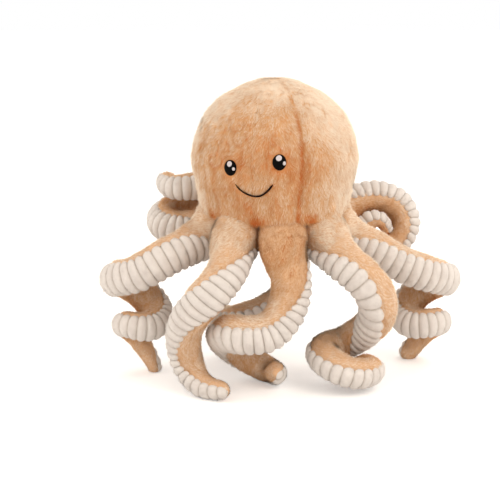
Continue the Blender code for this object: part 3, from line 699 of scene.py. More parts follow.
def ribbed_material(name):
    """Ribbed velboa, a short knitted polyester pile: matt, with a soft bloom and a nap, duller in patches,
    and darker with painted shade in the valleys between ribs."""
    rib = bpy.context.scene.octopus_rib
    material = new_material(name)
    where = add(material, "ShaderNodeTexCoord").outputs["Object"]
    nap = add(material, "ShaderNodeTexNoise", {"Scale": 1000.0 / NAP_MM, "Detail": 3.0}, Vector=where)
    cloud = add(material, "ShaderNodeTexNoise", {"Scale": 1000.0 / CLOUD_MM, "Detail": 2.0}, Vector=where)
    ramp = add(material, "ShaderNodeValToRGB", Fac=cloud.outputs["Fac"])
    stops = ramp.color_ramp.elements
    stops[0].position, stops[0].color = CLOUD_STOPS[0], linear(rib.shade)
    stops[1].position, stops[1].color = CLOUD_STOPS[1], linear(rib.colour)
    tone = add(material, "ShaderNodeAttribute", {"attribute_name": "tone"})
    # Painted shade: the valley colour, mixed in by the ribs' tone.
    mix = add(material, "ShaderNodeMix", {"data_type": "RGBA"}, tone.outputs["Fac"])
    mix.inputs[MIX_FIRST].default_value = linear(rib.valley)
    material.node_tree.links.new(ramp.outputs["Color"], mix.inputs[MIX_SECOND])
    bump = add(material, "ShaderNodeBump", {"Strength": 0.5, "Distance": 0.0008}, Height=nap.outputs["Fac"])
    shader = add(material, "ShaderNodeBsdfPrincipled",
                 {"Roughness": 0.85, "Sheen Weight": 0.4, "Sheen Roughness": 0.35,
                  "Specular IOR Level": 0.2},
                 Base_Color=mix.outputs[MIX_RESULT], Normal=bump.outputs["Normal"])
    add(material, "ShaderNodeOutputMaterial", {}, shader.outputs[0])
    return material


def thread_material(name):
    """Machine embroidery in polyester thread: close parallel stitches with a soft gloss along them."""
    colour, roughness = THREADS[name]
    material = new_material(name)
    where = add(material, "ShaderNodeTexCoord").outputs["Object"]
    wave = add(material, "ShaderNodeTexWave",
               {"Scale": 1000.0 / STITCH_MM, "Distortion": 1.5, "Detail": 1.0, "bands_direction": "Z"},
               Vector=where)
    bump = add(material, "ShaderNodeBump", {"Strength": 0.4, "Distance": 0.0002},
               Height=wave.outputs["Fac"])
    shader = add(material, "ShaderNodeBsdfPrincipled",
                 {"Roughness": roughness, "Base Color": linear(colour), "Specular IOR Level": 0.06},
                 Normal=bump.outputs["Normal"])
    add(material, "ShaderNodeOutputMaterial", {}, shader.outputs[0])
    return material


def shared(name, maker=thread_material):
    """A material made once and shared."""
    return bpy.data.materials.get(name) or maker(name)


def fur():
    """The fur's material."""
    return shared("faux_rabbit_fur", fur_material)


def ribbed():
    """The ribbed plush's material."""
    return shared("ribbed_velboa", ribbed_material)


PROFILE_ROWS = spline(np.array(list(UNDER_PROFILE_SHARES) + [
    (HEAD_TOP_SHARE * math.sin(math.radians(a)), math.cos(math.radians(a))) for a in CROWN_ANGLES]
    + [(HEAD_TOP_SHARE, 0.0)]))
PROFILE_MARKS = np.r_[0.0, np.cumsum(np.linalg.norm(np.diff(PROFILE_ROWS, axis=0), axis=1))]
PROFILE_MARKS /= PROFILE_MARKS[-1]


def root_frame(arm):
    """Root place, direction of the arm there and direction of its ribs, in the plane it swings in."""
    angle, slope = math.radians(arm["angle"]), math.radians(arm["slope"])
    out = np.array([math.sin(angle), math.cos(angle), 0.0])
    up = np.array([0.0, 0.0, 1.0])
    pivot = (BASE_UNDER - ROOT_GAP - MIDDLE[2]) / HEAD_RADIUS - ARM_SHARE
    root = RING_SHARE * out + pivot * up
    return root, math.cos(slope) * out + math.sin(slope) * up, math.sin(slope) * out - math.cos(slope) * up


def seam_field(azimuth, height):
    """Degrees to the nearest seam, and how far that seam shows: each has its own strength, which grows
    towards the arms, where the cloth is gathered, and fades at the crown."""
    gaps = np.stack([np.abs((azimuth - seam + 180.0) % 360.0 - 180.0) for seam in SEAM_ANGLES])
    strength = np.array(SEAM_STRENGTHS)[np.argmin(gaps, axis=0)]
    shown = np.minimum(strength + SEAM_GATHER * falling(height, *GATHER_FALL_SHARES), 1.0)
    return gaps.min(axis=0), shown * falling(height, *SEAM_FADE_SHARES)


def arm_roots():
    """Where each arm leaves the head and in which direction, in the toy's frame."""
    frames = [root_frame(arm) for arm in ARMS.values()]
    return place([row[0] for row in frames]) * HEAD_RADIUS + MIDDLE, place([row[1] for row in frames])


def root_distance(points, own=-1):
    """Distance to the nearest arm's root but its own: to the straight stretch there, less its radius."""
    best = np.full(points.shape[:-1], 1.0)
    for k, (start, way) in enumerate(zip(*arm_roots())):
        if k != own:
            away = points - start
            along = np.clip(away @ way, 0.0, ROOT_STRETCH)
            gap = np.linalg.norm(away - along[..., None] * way, axis=-1)
            best = np.minimum(best, gap - ARM_SHARE * HEAD_RADIUS * ROOT_FULLNESS)
    return best


def valley_distance(points):
    """Distance to the nearest place where two arms and the head meet."""
    angles = np.sort([arm["angle"] for arm in ARMS.values()])
    middles = np.radians(angles + np.diff(angles, append=angles[0] + 360.0) / 2.0)
    radius, height = VALLEY_PLACE_SHARES
    shares = np.array([(radius * math.sin(a), radius * math.cos(a), height) for a in middles])
    places = place(shares) * HEAD_RADIUS + MIDDLE
    return np.min([np.linalg.norm(points - at, axis=-1) for at in places], axis=0)


def head_distance(points):
    """Distance to the head's surface, negative inside: beside it to the turned profile, under it to the
    flat base's disc."""
    away = (points - MIDDLE) / HEAD_RADIUS
    height = np.clip(away[..., 2], PROFILE_ROWS[0, 0], HEAD_TOP_SHARE)
    side = np.hypot(away[..., 0], away[..., 1]) - np.interp(height, PROFILE_ROWS[:, 0], PROFILE_ROWS[:, 1])
    below = PROFILE_ROWS[0, 0] - away[..., 2]
    outside = np.hypot(np.maximum(side, 0.0), np.maximum(below, 0.0))
    return HEAD_RADIUS * (outside + np.minimum(np.maximum(side, below), 0.0))


def web(gap):
    """How far two skins are lifted to join in a soft web: a quarter of its reach where they meet, falling
    to 0 with the square of the distance between them."""
    return 0.25 * WEB_REACH * np.clip(1.0 - np.abs(gap) / WEB_REACH, 0.0, 1.0) ** 2


def head_surface(azimuth, rise):
    """The head's skin. rise runs from 0 at the base to 1 at the crown along the profile, azimuth round it
    in degrees. The profile is turned about the upright axis; each seam draws the skin in by a narrow dip
    times the profile's radius, and low noise makes it lumpy."""
    height = np.interp(rise, PROFILE_MARKS, PROFILE_ROWS[:, 0])
    radius = np.interp(rise, PROFILE_MARKS, PROFILE_ROWS[:, 1])
    near, strength = seam_field(azimuth, height)
    near = near * np.maximum(radius, SEAM_NARROW_SHARE)
    dip = strength * (SEAM_DIP_SHARE * bell(near, SEAM_HALF_WIDTH)
                      - GORE_BULGE_SHARE * (1.0 - np.exp(-near / GORE_BULGE_ANGLE)))
    angle = np.radians(azimuth)
    reach = radius * (1.0 - dip) - PILE_DEPTH_SHARE * np.minimum(1.0, radius * 2.0)
    height = height - PILE_DEPTH_SHARE * np.clip(height, 0.0, 1.0)
    points = HEAD_RADIUS * np.stack([reach * np.sin(angle), -reach * np.cos(angle), height], axis=-1)
    flat = points.reshape(-1, 3)
    flat = flat * (1.0 + layered(noise, flat, HEAD_LUMPS) / HEAD_RADIUS)[:, None]
    points = flat.reshape(points.shape) + MIDDLE
    out = unit(np.stack([np.sin(angle), -np.cos(angle), np.full(angle.shape, WEB_SLOPE)], axis=-1))
    return points + out * web(root_distance(points))[..., None]


def surface_frame(surface, u, v, du, dv):
    """Points of a surface with their outward normals, from small steps along both parameters."""
    here = surface(u, v)
    along_u = surface(u + du, v) - here
    along_v = surface(u, v + dv) - here
    return here, unit(np.cross(along_u, along_v)), unit(along_u), unit(along_v)


def rise_of(elevation):
    """Place along the head's profile of an elevation in degrees."""
    height = np.sin(np.radians(elevation)) * HEAD_TOP_SHARE
    return np.interp(height, PROFILE_ROWS[:, 0], PROFILE_MARKS)


def face_points(azimuth, elevation, lift):
    """Points lifted off the head by a distance."""
    azimuth, elevation = np.broadcast_arrays(np.asarray(azimuth, float), np.asarray(elevation, float))
    points, normals, _, _ = surface_frame(head_surface, azimuth, rise_of(elevation), *FACE_FRAME_STEPS)
    return points + normals * np.asarray(lift)[..., None]


def face_distance(points):
    """Distance of points to the nearest eye's edge or to the smile, in metres; negative inside an eye."""
    face = bpy.context.scene.octopus_face
    best = np.full(len(points), 1.0)
    for azimuth, elevation in EYES.values():
        middle = face_points(azimuth, elevation, 0.0).reshape(3)
        out = unit((middle - MIDDLE) * (1.0, 1.0, 0.0))
        side = np.cross((0.0, 0.0, 1.0), out)
        away = points - middle
        x, z = away @ side, away[:, 2]
        reach = np.sqrt((x / face.half_width) ** 2 + (z / face.half_height) ** 2)
        near = (reach - 1.0) * face.half_width
        best = np.where(np.abs(away @ out) < FACE_DEPTH, np.minimum(best, near), best)
    return np.minimum(best, np.linalg.norm(points[:, None] - smile_path(0.0)[None], axis=2).min(axis=1))


def smile_path(lift):
    """Points along the smile, lifted off the head by a distance."""
    return face_points(*spline(np.array(SMILE, float)).T, lift)


def mottle(points, seed):
    """Tone of brushed fur: soft patches of 4, 12 and 30 mm, longer up and down, and thin partings where
    one more noise crosses 0."""
    drawn = points * PATCH_STRETCH
    parting = bell(noise(drawn, PARTING_SIZE, seed + 3), PARTING_WIDTH)
    shown = np.clip(PARTING_BASE + layered(noise, drawn, PARTING_PATCHES, seed), 0.0, 1.0)
    return layered(noise, drawn, TONE_PATCHES, seed) - PARTING_TONE * parting * shown


def joined_shading(points, normals, gap):
    """Shading directions that turn to one shared field where the head and an arm meet, so that the light
    runs on over the join."""
    common = unit((points - MIDDLE) * JOIN_STRETCH + JOIN_RISE)
    near = halo(gap, JOIN_WIDTH)[:, None]
    return unit((1.0 - near) * normals + near * common)


def crease(points, own):
    """How deep in a crease between arms, for the painted shade there: 1 where two arms and the head meet or
    two arms touch.
    """
    return np.maximum(bell(valley_distance(points), VALLEY_WIDTH),
                      ARM_CREASE_SHADE * halo(root_distance(points, own), ROOT_LINE_WIDTH))


def head_tones(points, azimuth, rise):
    """Tone of the head's fur: richest over the face, paler round the sides as painted rim light and on the
    crown as painted light from above, mottled, deep along the seams, and deep with painted shade where the
    arms leave and in the valleys between them."""
    radius = np.interp(rise, PROFILE_MARKS, PROFILE_ROWS[:, 1])
    height = (points[:, 2] - MIDDLE[2]) / HEAD_RADIUS
    near, strength = seam_field(azimuth, height)
    near = np.radians(near) * radius * HEAD_RADIUS
    facing = unit(points - MIDDLE) @ unit(place(FACE_WAY_SHARES))
    # Painted rim light: paler round the sides, away from the face; painted light from above: paler towards
    # the crown.
    tone = FACE_TONE + SIDE_RIM_LIGHT * falling(facing, *SIDE_LIGHT_FALL) + TOP_LIGHT * np.clip(height, 0.0, 1.0)
    tone += mottle(points, HEAD_MOTTLE)
    seam = strength * bell(near, SEAM_LINE_WIDTH)
    tone -= SEAM_TONE * seam * (1.0 + layered(noise, points, SEAM_PATCHES))
    # Painted shade: deeper round the arms' roots and in the valleys where two arms meet the head.
    tone -= ROOT_HALO_SHADE * halo(root_distance(points), ROOT_HALO_WIDTH)
    return tone - CREASE_SHADE * bell(valley_distance(points), VALLEY_WIDTH)


def build_head_skin():
    """The cloth of the head as one closed skin, shut at the base and the crown."""
    azimuth = np.linspace(0.0, 360.0, HEAD_COLUMNS, endpoint=False)
    u, v = (grid.ravel() for grid in np.meshgrid(azimuth, np.linspace(0.0, CROWN_END, HEAD_ROWS)))
    points = head_surface(u, v)
    tone = np.r_[head_tones(points, u, v) - ROOT_SHADE, BASE_TONE, CROWN_TONE]
    low = MIDDLE + (0.0, 0.0, points[:HEAD_COLUMNS, 2].min() - MIDDLE[2])
    high = points[-HEAD_COLUMNS:].mean(axis=0)
    rings = points.reshape(HEAD_ROWS, HEAD_COLUMNS, 3)
    skin = closed_shell("head_skin", rings, low, high, fur(), tone)
    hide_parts("head_front", "head_right", "head_back", "head_left", "head_stuffing", "base_panel")
    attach(skin, "head")


def combed(comb, normals, lift, stray):
    """Ways of strands: laid along the cloth as combed, lifted off it, and strayed at random."""
    comb = comb - normals * (comb * normals).sum(axis=1)[:, None]
    return unit(unit(comb) + normals * lift[:, None] + stray)


def build_head_pile(gore, start, end):
    """The pile of one gore: roots spread evenly over the skin, combed down with swirls, shorter by the
    face."""
    pile = bpy.context.scene.octopus_pile
    random = np.random.default_rng(HEAD_SEED + GORES.index(gore))
    area = 4.0 * math.pi * HEAD_RADIUS ** 2 * PILE_COVER * (end - start) / 360.0
    count = int(area / pile.spacing ** 2)
    azimuth = start + (end - start) * random.random(count)
    height = random.uniform(UNDER_PROFILE_SHARES[0][0], HEAD_TOP_SHARE, count)
    rise = np.minimum(np.interp(height, PROFILE_ROWS[:, 0], PROFILE_MARKS), PILE_TOP)
    roots, normals, _, up = surface_frame(head_surface, azimuth, rise, *HEAD_FRAME_STEPS)
    crown = rising(height, *CROWN_RISE_SHARES)
    comb = layered(noise_vectors, roots, HEAD_SWIRLS) * (1.0 - CROWN_SWIRL_LOSS * crown)[:, None] - up
    lift = pile.lift * (1.0 + layered(noise, roots, HEAD_LIFTS)) * (1.0 - CROWN_LIFT_LOSS * crown)
    stray = (STRAY - CROWN_STRAY * crown)[:, None] * random.normal(size=(count, 3))
    ways = combed(comb, normals, lift, stray)
    lengths = pile.length * random.uniform(*LENGTH_RANGE, count)
    gap = root_distance(roots)
    keep = gap > -PILE_OVERLAP
    if gore == "front":
        base = face_distance(roots)
        clear = face_distance(roots + ways * lengths[:, None] * FACE_REACH_SHARE)
        keep &= (clear > FACE_CLEARANCE) & (base > FACE_ROOT_CLEARANCE)
        lengths *= np.clip(FACE_SHORT_SHARE + base / FACE_SHORT_REACH, FACE_SHORT_SHARE, 1.0)
    tones = head_tones(roots, azimuth, rise) + TONE_SPREAD * random.normal(size=count)
    widths = pile.width * random.uniform(*WIDTH_RANGE, count)
    shading = joined_shading(roots, normals, gap)
    item = strands("head_pile_" + gore, fur(), ROOT_SINK, keep,
                   roots, normals, shading, ways, lengths, widths, tones)
    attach(item, "head")


def arm_route(arm):
    """The arm's middle line in shares: place, thickness share and direction of the ribs."""
    root, leave, under = root_frame(arm)
    rows = [(*(root - STUB_SHARE * leave), 1.0, *under), (*root, 1.0, *under),
            (*(root + STUB_SHARE * leave), 1.0, *under)]
    rows.extend(arm["lead_shares"])
    if "coil_shares" in arm:
        right, front, top, start_radius, end_radius, drop, end_share = arm["coil_shares"]
        lean_right, lean_front = arm["lean_shares"]
        first, turn = arm["coil_turn"]
        share = rows[-1][3]
        steps = int(abs(turn) / COIL_STEP)
        for i in range(steps + 1):
            part = i / steps
            theta = math.radians(first + turn * part)
            reach = start_radius + (end_radius - start_radius) * part
            taper = COIL_EVEN_SHARE * part + (1.0 - COIL_EVEN_SHARE) * part ** COIL_TAPER_POWER
            thick = share + (end_share - share) * taper
            lean = lean_right * math.cos(theta) + lean_front * math.sin(theta)
            height = top - drop * part ** arm["coil_fall"] + lean * min(part / LEAN_IN, 1.0)
            rows.append((right + reach * math.cos(theta), front + reach * math.sin(theta), height,
                         thick, math.cos(theta), math.sin(theta), arm["coil_tilt"]))
    curve = spline(np.array(rows, float))
    curve = resample(curve, int(curve_length(curve) / ROUTE_STEP_SHARE))
    for _ in range(SMOOTH_PASSES):
        curve[1:-1] = (curve[:-2] + 2.0 * curve[1:-1] + curve[2:]) / 4.0
    start = int(np.argmin(np.linalg.norm(curve[:, :3] - root, axis=1)))
    curve = curve[start:]
    fade = np.clip(1.0 - np.linspace(0.0, 1.0, len(curve)) / ROOT_FADE_SHARE, 0.0, 1.0)
    curve[:, :3] += np.outer(fade, root - curve[0, :3])
    return curve


class Arm:
    """One arm's middle line with its frames, as whole arrays over the distance from the root."""

    def __init__(self, name):
        arm = ARMS[name]
        curve = arm_route(arm)
        curve = resample(curve, int(curve_length(curve) * HEAD_RADIUS / ARM_STEP))
        self.name = name
        self.index = list(ARMS).index(name)
        self.centre = place(curve[:, :3]) * HEAD_RADIUS + MIDDLE
        self.radius = curve[:, 3] * ARM_SHARE * HEAD_RADIUS
        self.hint = place(curve[:, 4:7])
        self.leave = place(root_frame(arm)[1])
        self.pivot = self.centre[0].copy()
        self.set_frames()
        if arm["stands"]:
            for _ in range(SETTLE_PASSES):
                low = (self.centre[:, 2] - self.radius * np.sqrt(1.0 - self.along[:, 2] ** 2)).min()
                stretch = -self.pivot[2] / (low - self.pivot[2])
                self.centre[:, 2] = self.pivot[2] + (self.centre[:, 2] - self.pivot[2]) * stretch
                self.set_frames()
        self.marks = np.r_[0.0, np.cumsum(np.linalg.norm(np.diff(self.centre, axis=0), axis=1))]
        self.length = self.marks[-1]
        self.root, self.tip = self.radius[0], self.radius[-1]
        line = self.centre + self.radius[:, None] * self.ribs
        marks = np.r_[0.0, np.cumsum(np.linalg.norm(np.diff(line, axis=0), axis=1))]
        count = round(marks[-1] / bpy.context.scene.octopus_rib.pitch)
        self.phases = marks / marks[-1] * count + layered(noise, self.centre, RIB_SHIFTS)
        self.ends = np.array([-DOME_REACH * self.root, self.length + DOME_REACH * self.tip])

    def set_frames(self):
        """Along, rib direction and side direction at each station."""
        along = np.gradient(self.centre, axis=0)
        along[0] = self.leave
        self.along = unit(along)
        ribs = self.hint - (self.hint * self.along).sum(axis=1)[:, None] * self.along
        self.ribs = unit(ribs)
        self.side = np.cross(self.along, self.ribs)

    def at(self, s):
        """Middle, along, rib and side directions, radius and a share that falls to 0 over the round ends.
        s is the distance from the root; below 0 and beyond the length it runs over the domes."""
        inside = np.clip(s, 0.0, self.length)
        row = [np.stack([np.interp(inside, self.marks, field[:, k]) for k in range(3)], axis=-1)
               for field in (self.centre, self.along, self.ribs, self.side)]
        centre, along, ribs, side = row[0], unit(row[1]), unit(row[2]), unit(row[3])
        radius = np.interp(inside, self.marks, self.radius)
        over = np.where(s < 0.0, s, np.maximum(s - self.length, 0.0))
        turn = np.clip(over / radius, -0.5 * math.pi, 0.5 * math.pi)
        centre = centre + along * (radius * np.sin(turn))[..., None]
        return centre, along, ribs, side, radius, np.cos(turn)

    def phase(self, s):
        """Ribs counted from the root along the line of their crests, and on over the round ends."""
        pitch = bpy.context.scene.octopus_rib.pitch
        return np.interp(s, self.marks, self.phases) + (s - np.clip(s, 0.0, self.length)) / pitch

    def rib_stations(self):
        """Distances along the arm with the same number of rows on each rib."""
        fine = np.linspace(*self.ends, RIB_SAMPLES)
        phase = self.phase(fine)
        steps = np.arange(math.ceil(phase[0] * ROWS_PER_RIB), phase[-1] * ROWS_PER_RIB) / ROWS_PER_RIB
        return np.r_[self.ends[0], np.interp(steps, phase, fine), self.ends[1]]

    def curl_gap(self, points, s):
        """Distance to the other turns of the same arm, for points at s. It is worked out in parts, to
        spare memory, and to every sixth station."""
        marks, centre, radius = self.marks[::CURL_SKIP], self.centre[::CURL_SKIP], self.radius[::CURL_SKIP]
        gap = np.full(len(points), 1.0)
        for first in range(0, len(points), CURL_PART):
            part = slice(first, first + CURL_PART)
            away = np.linalg.norm(points[part, None] - centre[None], axis=2) - radius
            apart = np.abs(s[part, None] - marks[None]) > OWN_TURN * radius
            gap[part] = np.where(apart, away, 1.0).min(axis=1)
        return gap

    def merge(self, points, s, along, radial, share):
        """Lift the skin near the root so that it joins the head's in a web."""
        over = np.sign(s) * np.sqrt(np.maximum(1.0 - share ** 2, 0.0))
        out = radial * share[..., None] + along * over[..., None]
        return points + out * (web(head_distance(points)) * falling(s, *WEB_FADE))[..., None]

    def rib_width(self, s):
        """Share of the ribs' full width: the fur closes round the arm where it leaves the head."""
        return FUR_CLOSED_SHARE + (1.0 - FUR_CLOSED_SHARE) * rising(s, *FUR_CLOSING)

    def reach(self, s, angle, radius, share):
        """Radius of the skin: fuller at the root, drawn in at the two seams beside the ribs."""
        top = np.clip(-np.cos(np.radians(angle)), 0.0, 1.0)
        flare = (1.0 + ROOT_FLARE * halo(s, ROOT_FLARE_WIDTH)
                 + TOP_FLARE * top * bell(s - TOP_FLARE_PLACE, TOP_FLARE_WIDTH))
        seam = np.abs(np.abs((angle + 180.0) % 360.0 - 180.0) - RIB_HALF_ANGLE * self.rib_width(s))
        return radius * share * flare * (1.0 - SEAM_PINCH * bell(seam, SEAM_PINCH_ANGLE))

    def fur_surface(self, s, angle):
        """The fur panel: the tube's skin, made lumpy by low noise."""
        centre, along, ribs, side, radius, share = self.at(s)
        angle = 180.0 + (angle - 180.0) * (180.0 - FUR_EDGE * self.rib_width(s)) / (180.0 - FUR_EDGE)
        a = np.radians(angle)
        radial = np.cos(a)[..., None] * ribs + np.sin(a)[..., None] * side
        points = centre + (self.reach(s, angle, radius, share) * FUR_FULLNESS)[..., None] * radial
        lump = layered(noise, points.reshape(-1, 3), FUR_LUMPS).reshape(share.shape) * share
        return self.merge(points + lump[..., None] * radial, s, along, radial, share)

    def rib_surface(self, s, angle):
        """The ribbed panel: the tube's skin with round ribs across it, one each pitch. Between crests it
        dips by depth times 1 - |sin(pi phase)| to a power under 1, less near the seams and the tip. A rib's
        ends bulge over the fur, and the valleys' ends draw back."""
        rib = bpy.context.scene.octopus_rib
        centre, along, ribs, side, radius, share = self.at(s)
        puff = np.abs(np.sin(math.pi * self.phase(s))) ** RIB_ROUNDNESS
        edge = np.cos(0.5 * math.pi * np.minimum(np.abs(angle) / RIB_HALF_ANGLE, 1.0)) ** RIB_END_ROUNDNESS
        depth = rib.depth * (RIB_THIN_SHARE + (1.0 - RIB_THIN_SHARE) * radius / self.root)
        depth = depth * (RIB_EDGE_SHARE + (1.0 - RIB_EDGE_SHARE) * edge)
        angle = angle * self.rib_width(s)
        a = np.radians(angle * (1.0 + RIB_SCALLOP * (puff - RIB_SCALLOP_MIDDLE)))
        radial = np.cos(a)[..., None] * ribs + np.sin(a)[..., None] * side
        lump = layered(noise, (centre + radius[..., None] * radial).reshape(-1, 3), RIB_LUMPS)
        rise = RIB_BULGE * edge - depth * (1.0 - puff) + lump.reshape(share.shape)
        reach = self.reach(s, angle, radius, share) + share * rise
        return self.merge(centre + reach[..., None] * radial, s, along, radial, share)

    def rib_shade_tones(self, s):
        """Tone of the ribs, for the painted shade between them: 1 on a crest, falling to 0 in the valley
        between two.
        """
        return np.clip(np.abs(np.sin(math.pi * self.phase(s))) * RIB_VALLEY_SLOPE, 0.0, 1.0)


def build_panel(arm, name, surface, s, angles, material, tones):
    """A panel as one closed shell: its outer skin over the angles, an inner skin a little nearer the arm's
    middle line, and rims between them."""
    outer = surface(*np.meshgrid(s, angles, indexing="ij"))
    centre = arm.at(s)[0][:, None]
    inside = np.linspace(len(angles) - 1, 0, len(angles) // INNER_SKIP).round().astype(int)
    away = outer[:, inside] - centre
    span = np.maximum(np.linalg.norm(away, axis=2, keepdims=True), PANEL_DEPTH * PANEL_THIN_SHARE)
    inner = centre + away * np.maximum(1.0 - PANEL_DEPTH / span, PANEL_THIN_SHARE)
    outer[..., 2] = np.maximum(outer[..., 2], FLOOR_CLEARANCE)
    inner[..., 2] = np.maximum(inner[..., 2], FLOOR_GAP)
    rings = np.concatenate([outer, inner], axis=1)
    tone = np.r_[np.repeat(tones, rings.shape[1]), CLOTH_TONE, CLOTH_TONE]
    return closed_shell(name, rings, rings[0].mean(axis=0), rings[-1].mean(axis=0), material, tone)


def arm_tones(arm, points, normals, s):
    """Tone of an arm's fur: mottled, deep with painted shade where two arms meet at the head and where the
    arm's own turns press together, a little deeper with painted shade where it faces down, and a little
    deeper towards the tip. The front arm is deeper at its upper stretch."""
    tone = ARM_TONE + mottle(points, ARM_MOTTLE) - TIP_TONE * rising(s / arm.length, *TIP_RISE_SHARES)
    if arm.name == "arm_front":
        tone -= FRONT_TONE * falling(s, *FRONT_FALL)
    # Painted shade in the curl, where the arm's own turns press together.
    tone -= CURL_SHADE * halo(arm.curl_gap(points, s), CURL_WIDTH)
    # Painted shade where the fur faces down.
    tone -= UNDER_SHADE * falling(normals[:, 2], *UNDER_FALL)
    # Painted shade in the creases between arms, near the head.
    return tone - CREASE_SHADE * falling(s, *CREASE_FADE) * crease(points, arm.index)


def build_arm_panels(arm):
    """The two panels of an arm: ribs over 140 degrees, fur over the rest and a lap under each edge."""
    s = np.linspace(*arm.ends, int(arm.length / FUR_STEP))
    fur_panel = build_panel(arm, arm.name + "_fur_skin", arm.fur_surface, s,
                            np.linspace(FUR_EDGE, 360.0 - FUR_EDGE, FUR_COLUMNS),
                            fur(), np.full(len(s), CLOTH_TONE))
    s = arm.rib_stations()
    rib_panel = build_panel(arm, arm.name + "_ribbed_skin", arm.rib_surface, s,
                            np.linspace(-RIB_HALF_ANGLE, RIB_HALF_ANGLE, RIB_COLUMNS),
                            ribbed(), arm.rib_shade_tones(s))
    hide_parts(arm.name + "_fur", arm.name + "_stuffing")
    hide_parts(arm.name + "_ribs")
    return fur_panel, rib_panel


def spread_along(arm, random, low, tries):
    """Places along an arm, fewer where it is thinner."""
    s = random.uniform(low, arm.length + arm.tip, tries)
    return s[random.random(tries) < np.interp(s, arm.marks, arm.radius) / arm.root]


def pile_frame(arm, surface, s, angle, steps):
    """Points of an arm's panel with the normals away from its middle line and the way along it."""
    roots, normals, along, _ = surface_frame(surface, s, angle, *steps)
    inward = ((roots - arm.at(s)[0]) * normals).sum(axis=1)[:, None] < 0.0
    return roots, np.where(inward, -normals, normals), along


def build_arm_pile(arm):
    """The pile of an arm: roots spread over the fur panel, closer where the root flares, combed towards the
    tip with swirls."""
    pile = bpy.context.scene.octopus_pile
    random = np.random.default_rng(ARM_SEED + arm.index)
    low, high = -arm.root, arm.length + arm.tip
    tries = int((high - low) * math.radians(PILE_SPAN) * arm.root / pile.spacing ** 2)
    s = spread_along(arm, random, low, tries)
    s = np.r_[s, random.uniform(low, ROOT_STRETCH, int(tries * (ROOT_STRETCH - low) / (high - low)))]
    angle = random.uniform(FUR_EDGE, 360.0 - FUR_EDGE, len(s))
    roots, normals, along = pile_frame(arm, arm.fur_surface, s, angle, FUR_FRAME_STEPS)
    lift = pile.lift * (1.0 + layered(noise, roots, ARM_LIFTS))
    stray = STRAY * random.normal(size=roots.shape)
    ways = combed(along + layered(noise_vectors, roots, ARM_SWIRLS), normals, lift, stray)
    slim = (1.0 + np.interp(s, arm.marks, arm.radius) / arm.root) / 2.0
    lengths = pile.length * ARM_PILE_SHARE * slim * random.uniform(*LENGTH_RANGE, len(s))
    widths = pile.width * random.uniform(*WIDTH_RANGE, len(s))
    tones = arm_tones(arm, roots, normals, s) + TONE_SPREAD * random.normal(size=len(s))
    gap = np.where(s < ROOT_NEAR, head_distance(roots), 1.0)
    keep = (gap > -PILE_UNDERLAP) & (roots[:, 2] > FLOOR_GAP)
    item = strands(arm.name + "_pile", fur(), ROOT_SINK, keep,
                   roots, normals, joined_shading(roots, normals, gap), ways, lengths, widths, tones)
    return item


def build_rib_pile(arm):
    """The ribs' own pile: short strands spread over the ribbed panel, standing and a little ruffled."""
    random = np.random.default_rng(RIB_SEED + arm.index)
    low, high = RIB_PILE_START * arm.root, arm.length + arm.tip
    tries = int((high - low) * math.radians(2.0 * RIB_HALF_ANGLE) * arm.root / RIB_PILE_SPACING ** 2)
    s = spread_along(arm, random, low, tries)
    angle = random.uniform(-RIB_HALF_ANGLE, RIB_HALF_ANGLE, len(s))
    roots, normals, along = pile_frame(arm, arm.rib_surface, s, angle, RIB_FRAME_STEPS)
    comb = unit(along + layered(noise_vectors, roots, RIB_SWIRLS))
    ways = unit(comb + RIB_PILE_LIFT * normals + RIB_PILE_STRAY * random.normal(size=roots.shape))
    lengths = RIB_PILE_LENGTH * random.uniform(*RIB_LENGTH_RANGE, len(s))
    item = strands(arm.name + "_rib_pile", ribbed(), RIB_ROOT_SINK, roots[:, 2] > FLOOR_GAP,
                   roots, normals, normals, ways, lengths, RIB_PILE_WIDTH_SHARE * lengths, arm.rib_shade_tones(s))
    return item


def build_oval(name, azimuth, elevation, half_width, half_height, lift, crown, material):
    """A satin-stitched oval as a closed lens. Its top rises by crown times the root of 1 - r^2, with a fine
    ridge for each stitch across it."""
    r = np.linspace(0.0, 1.0, OVAL_RINGS + 1)[1:]
    t = np.linspace(0.0, 2.0 * math.pi, OVAL_SIDES, endpoint=False)
    grid_r, grid_t = np.meshgrid(r, t, indexing="ij")
    x, z = half_width * grid_r * np.cos(grid_t), half_height * grid_r * np.sin(grid_t)
    across, up = azimuth + np.degrees(x / HEAD_RADIUS), elevation + np.degrees(z / HEAD_RADIUS)
    ridge = STITCH_RIDGE * np.abs(np.sin(math.pi * z / STITCH_PITCH)) * (1.0 - grid_r ** 6)
    dome = crown * np.sqrt(1.0 - OVAL_SHARE * grid_r ** 2)
    back = lift - STITCH_BACK
    top = face_points(across, up, lift + dome + ridge)
    under = face_points(across[::-OVAL_SKIP], up[::-OVAL_SKIP], back)
    centre, floor = (face_points(azimuth, elevation, height) for height in (lift + crown, back))
    item = closed_shell(name + "_stitched", np.concatenate([top, under]), centre, floor, material)
    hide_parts(name)
    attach(item, "head")


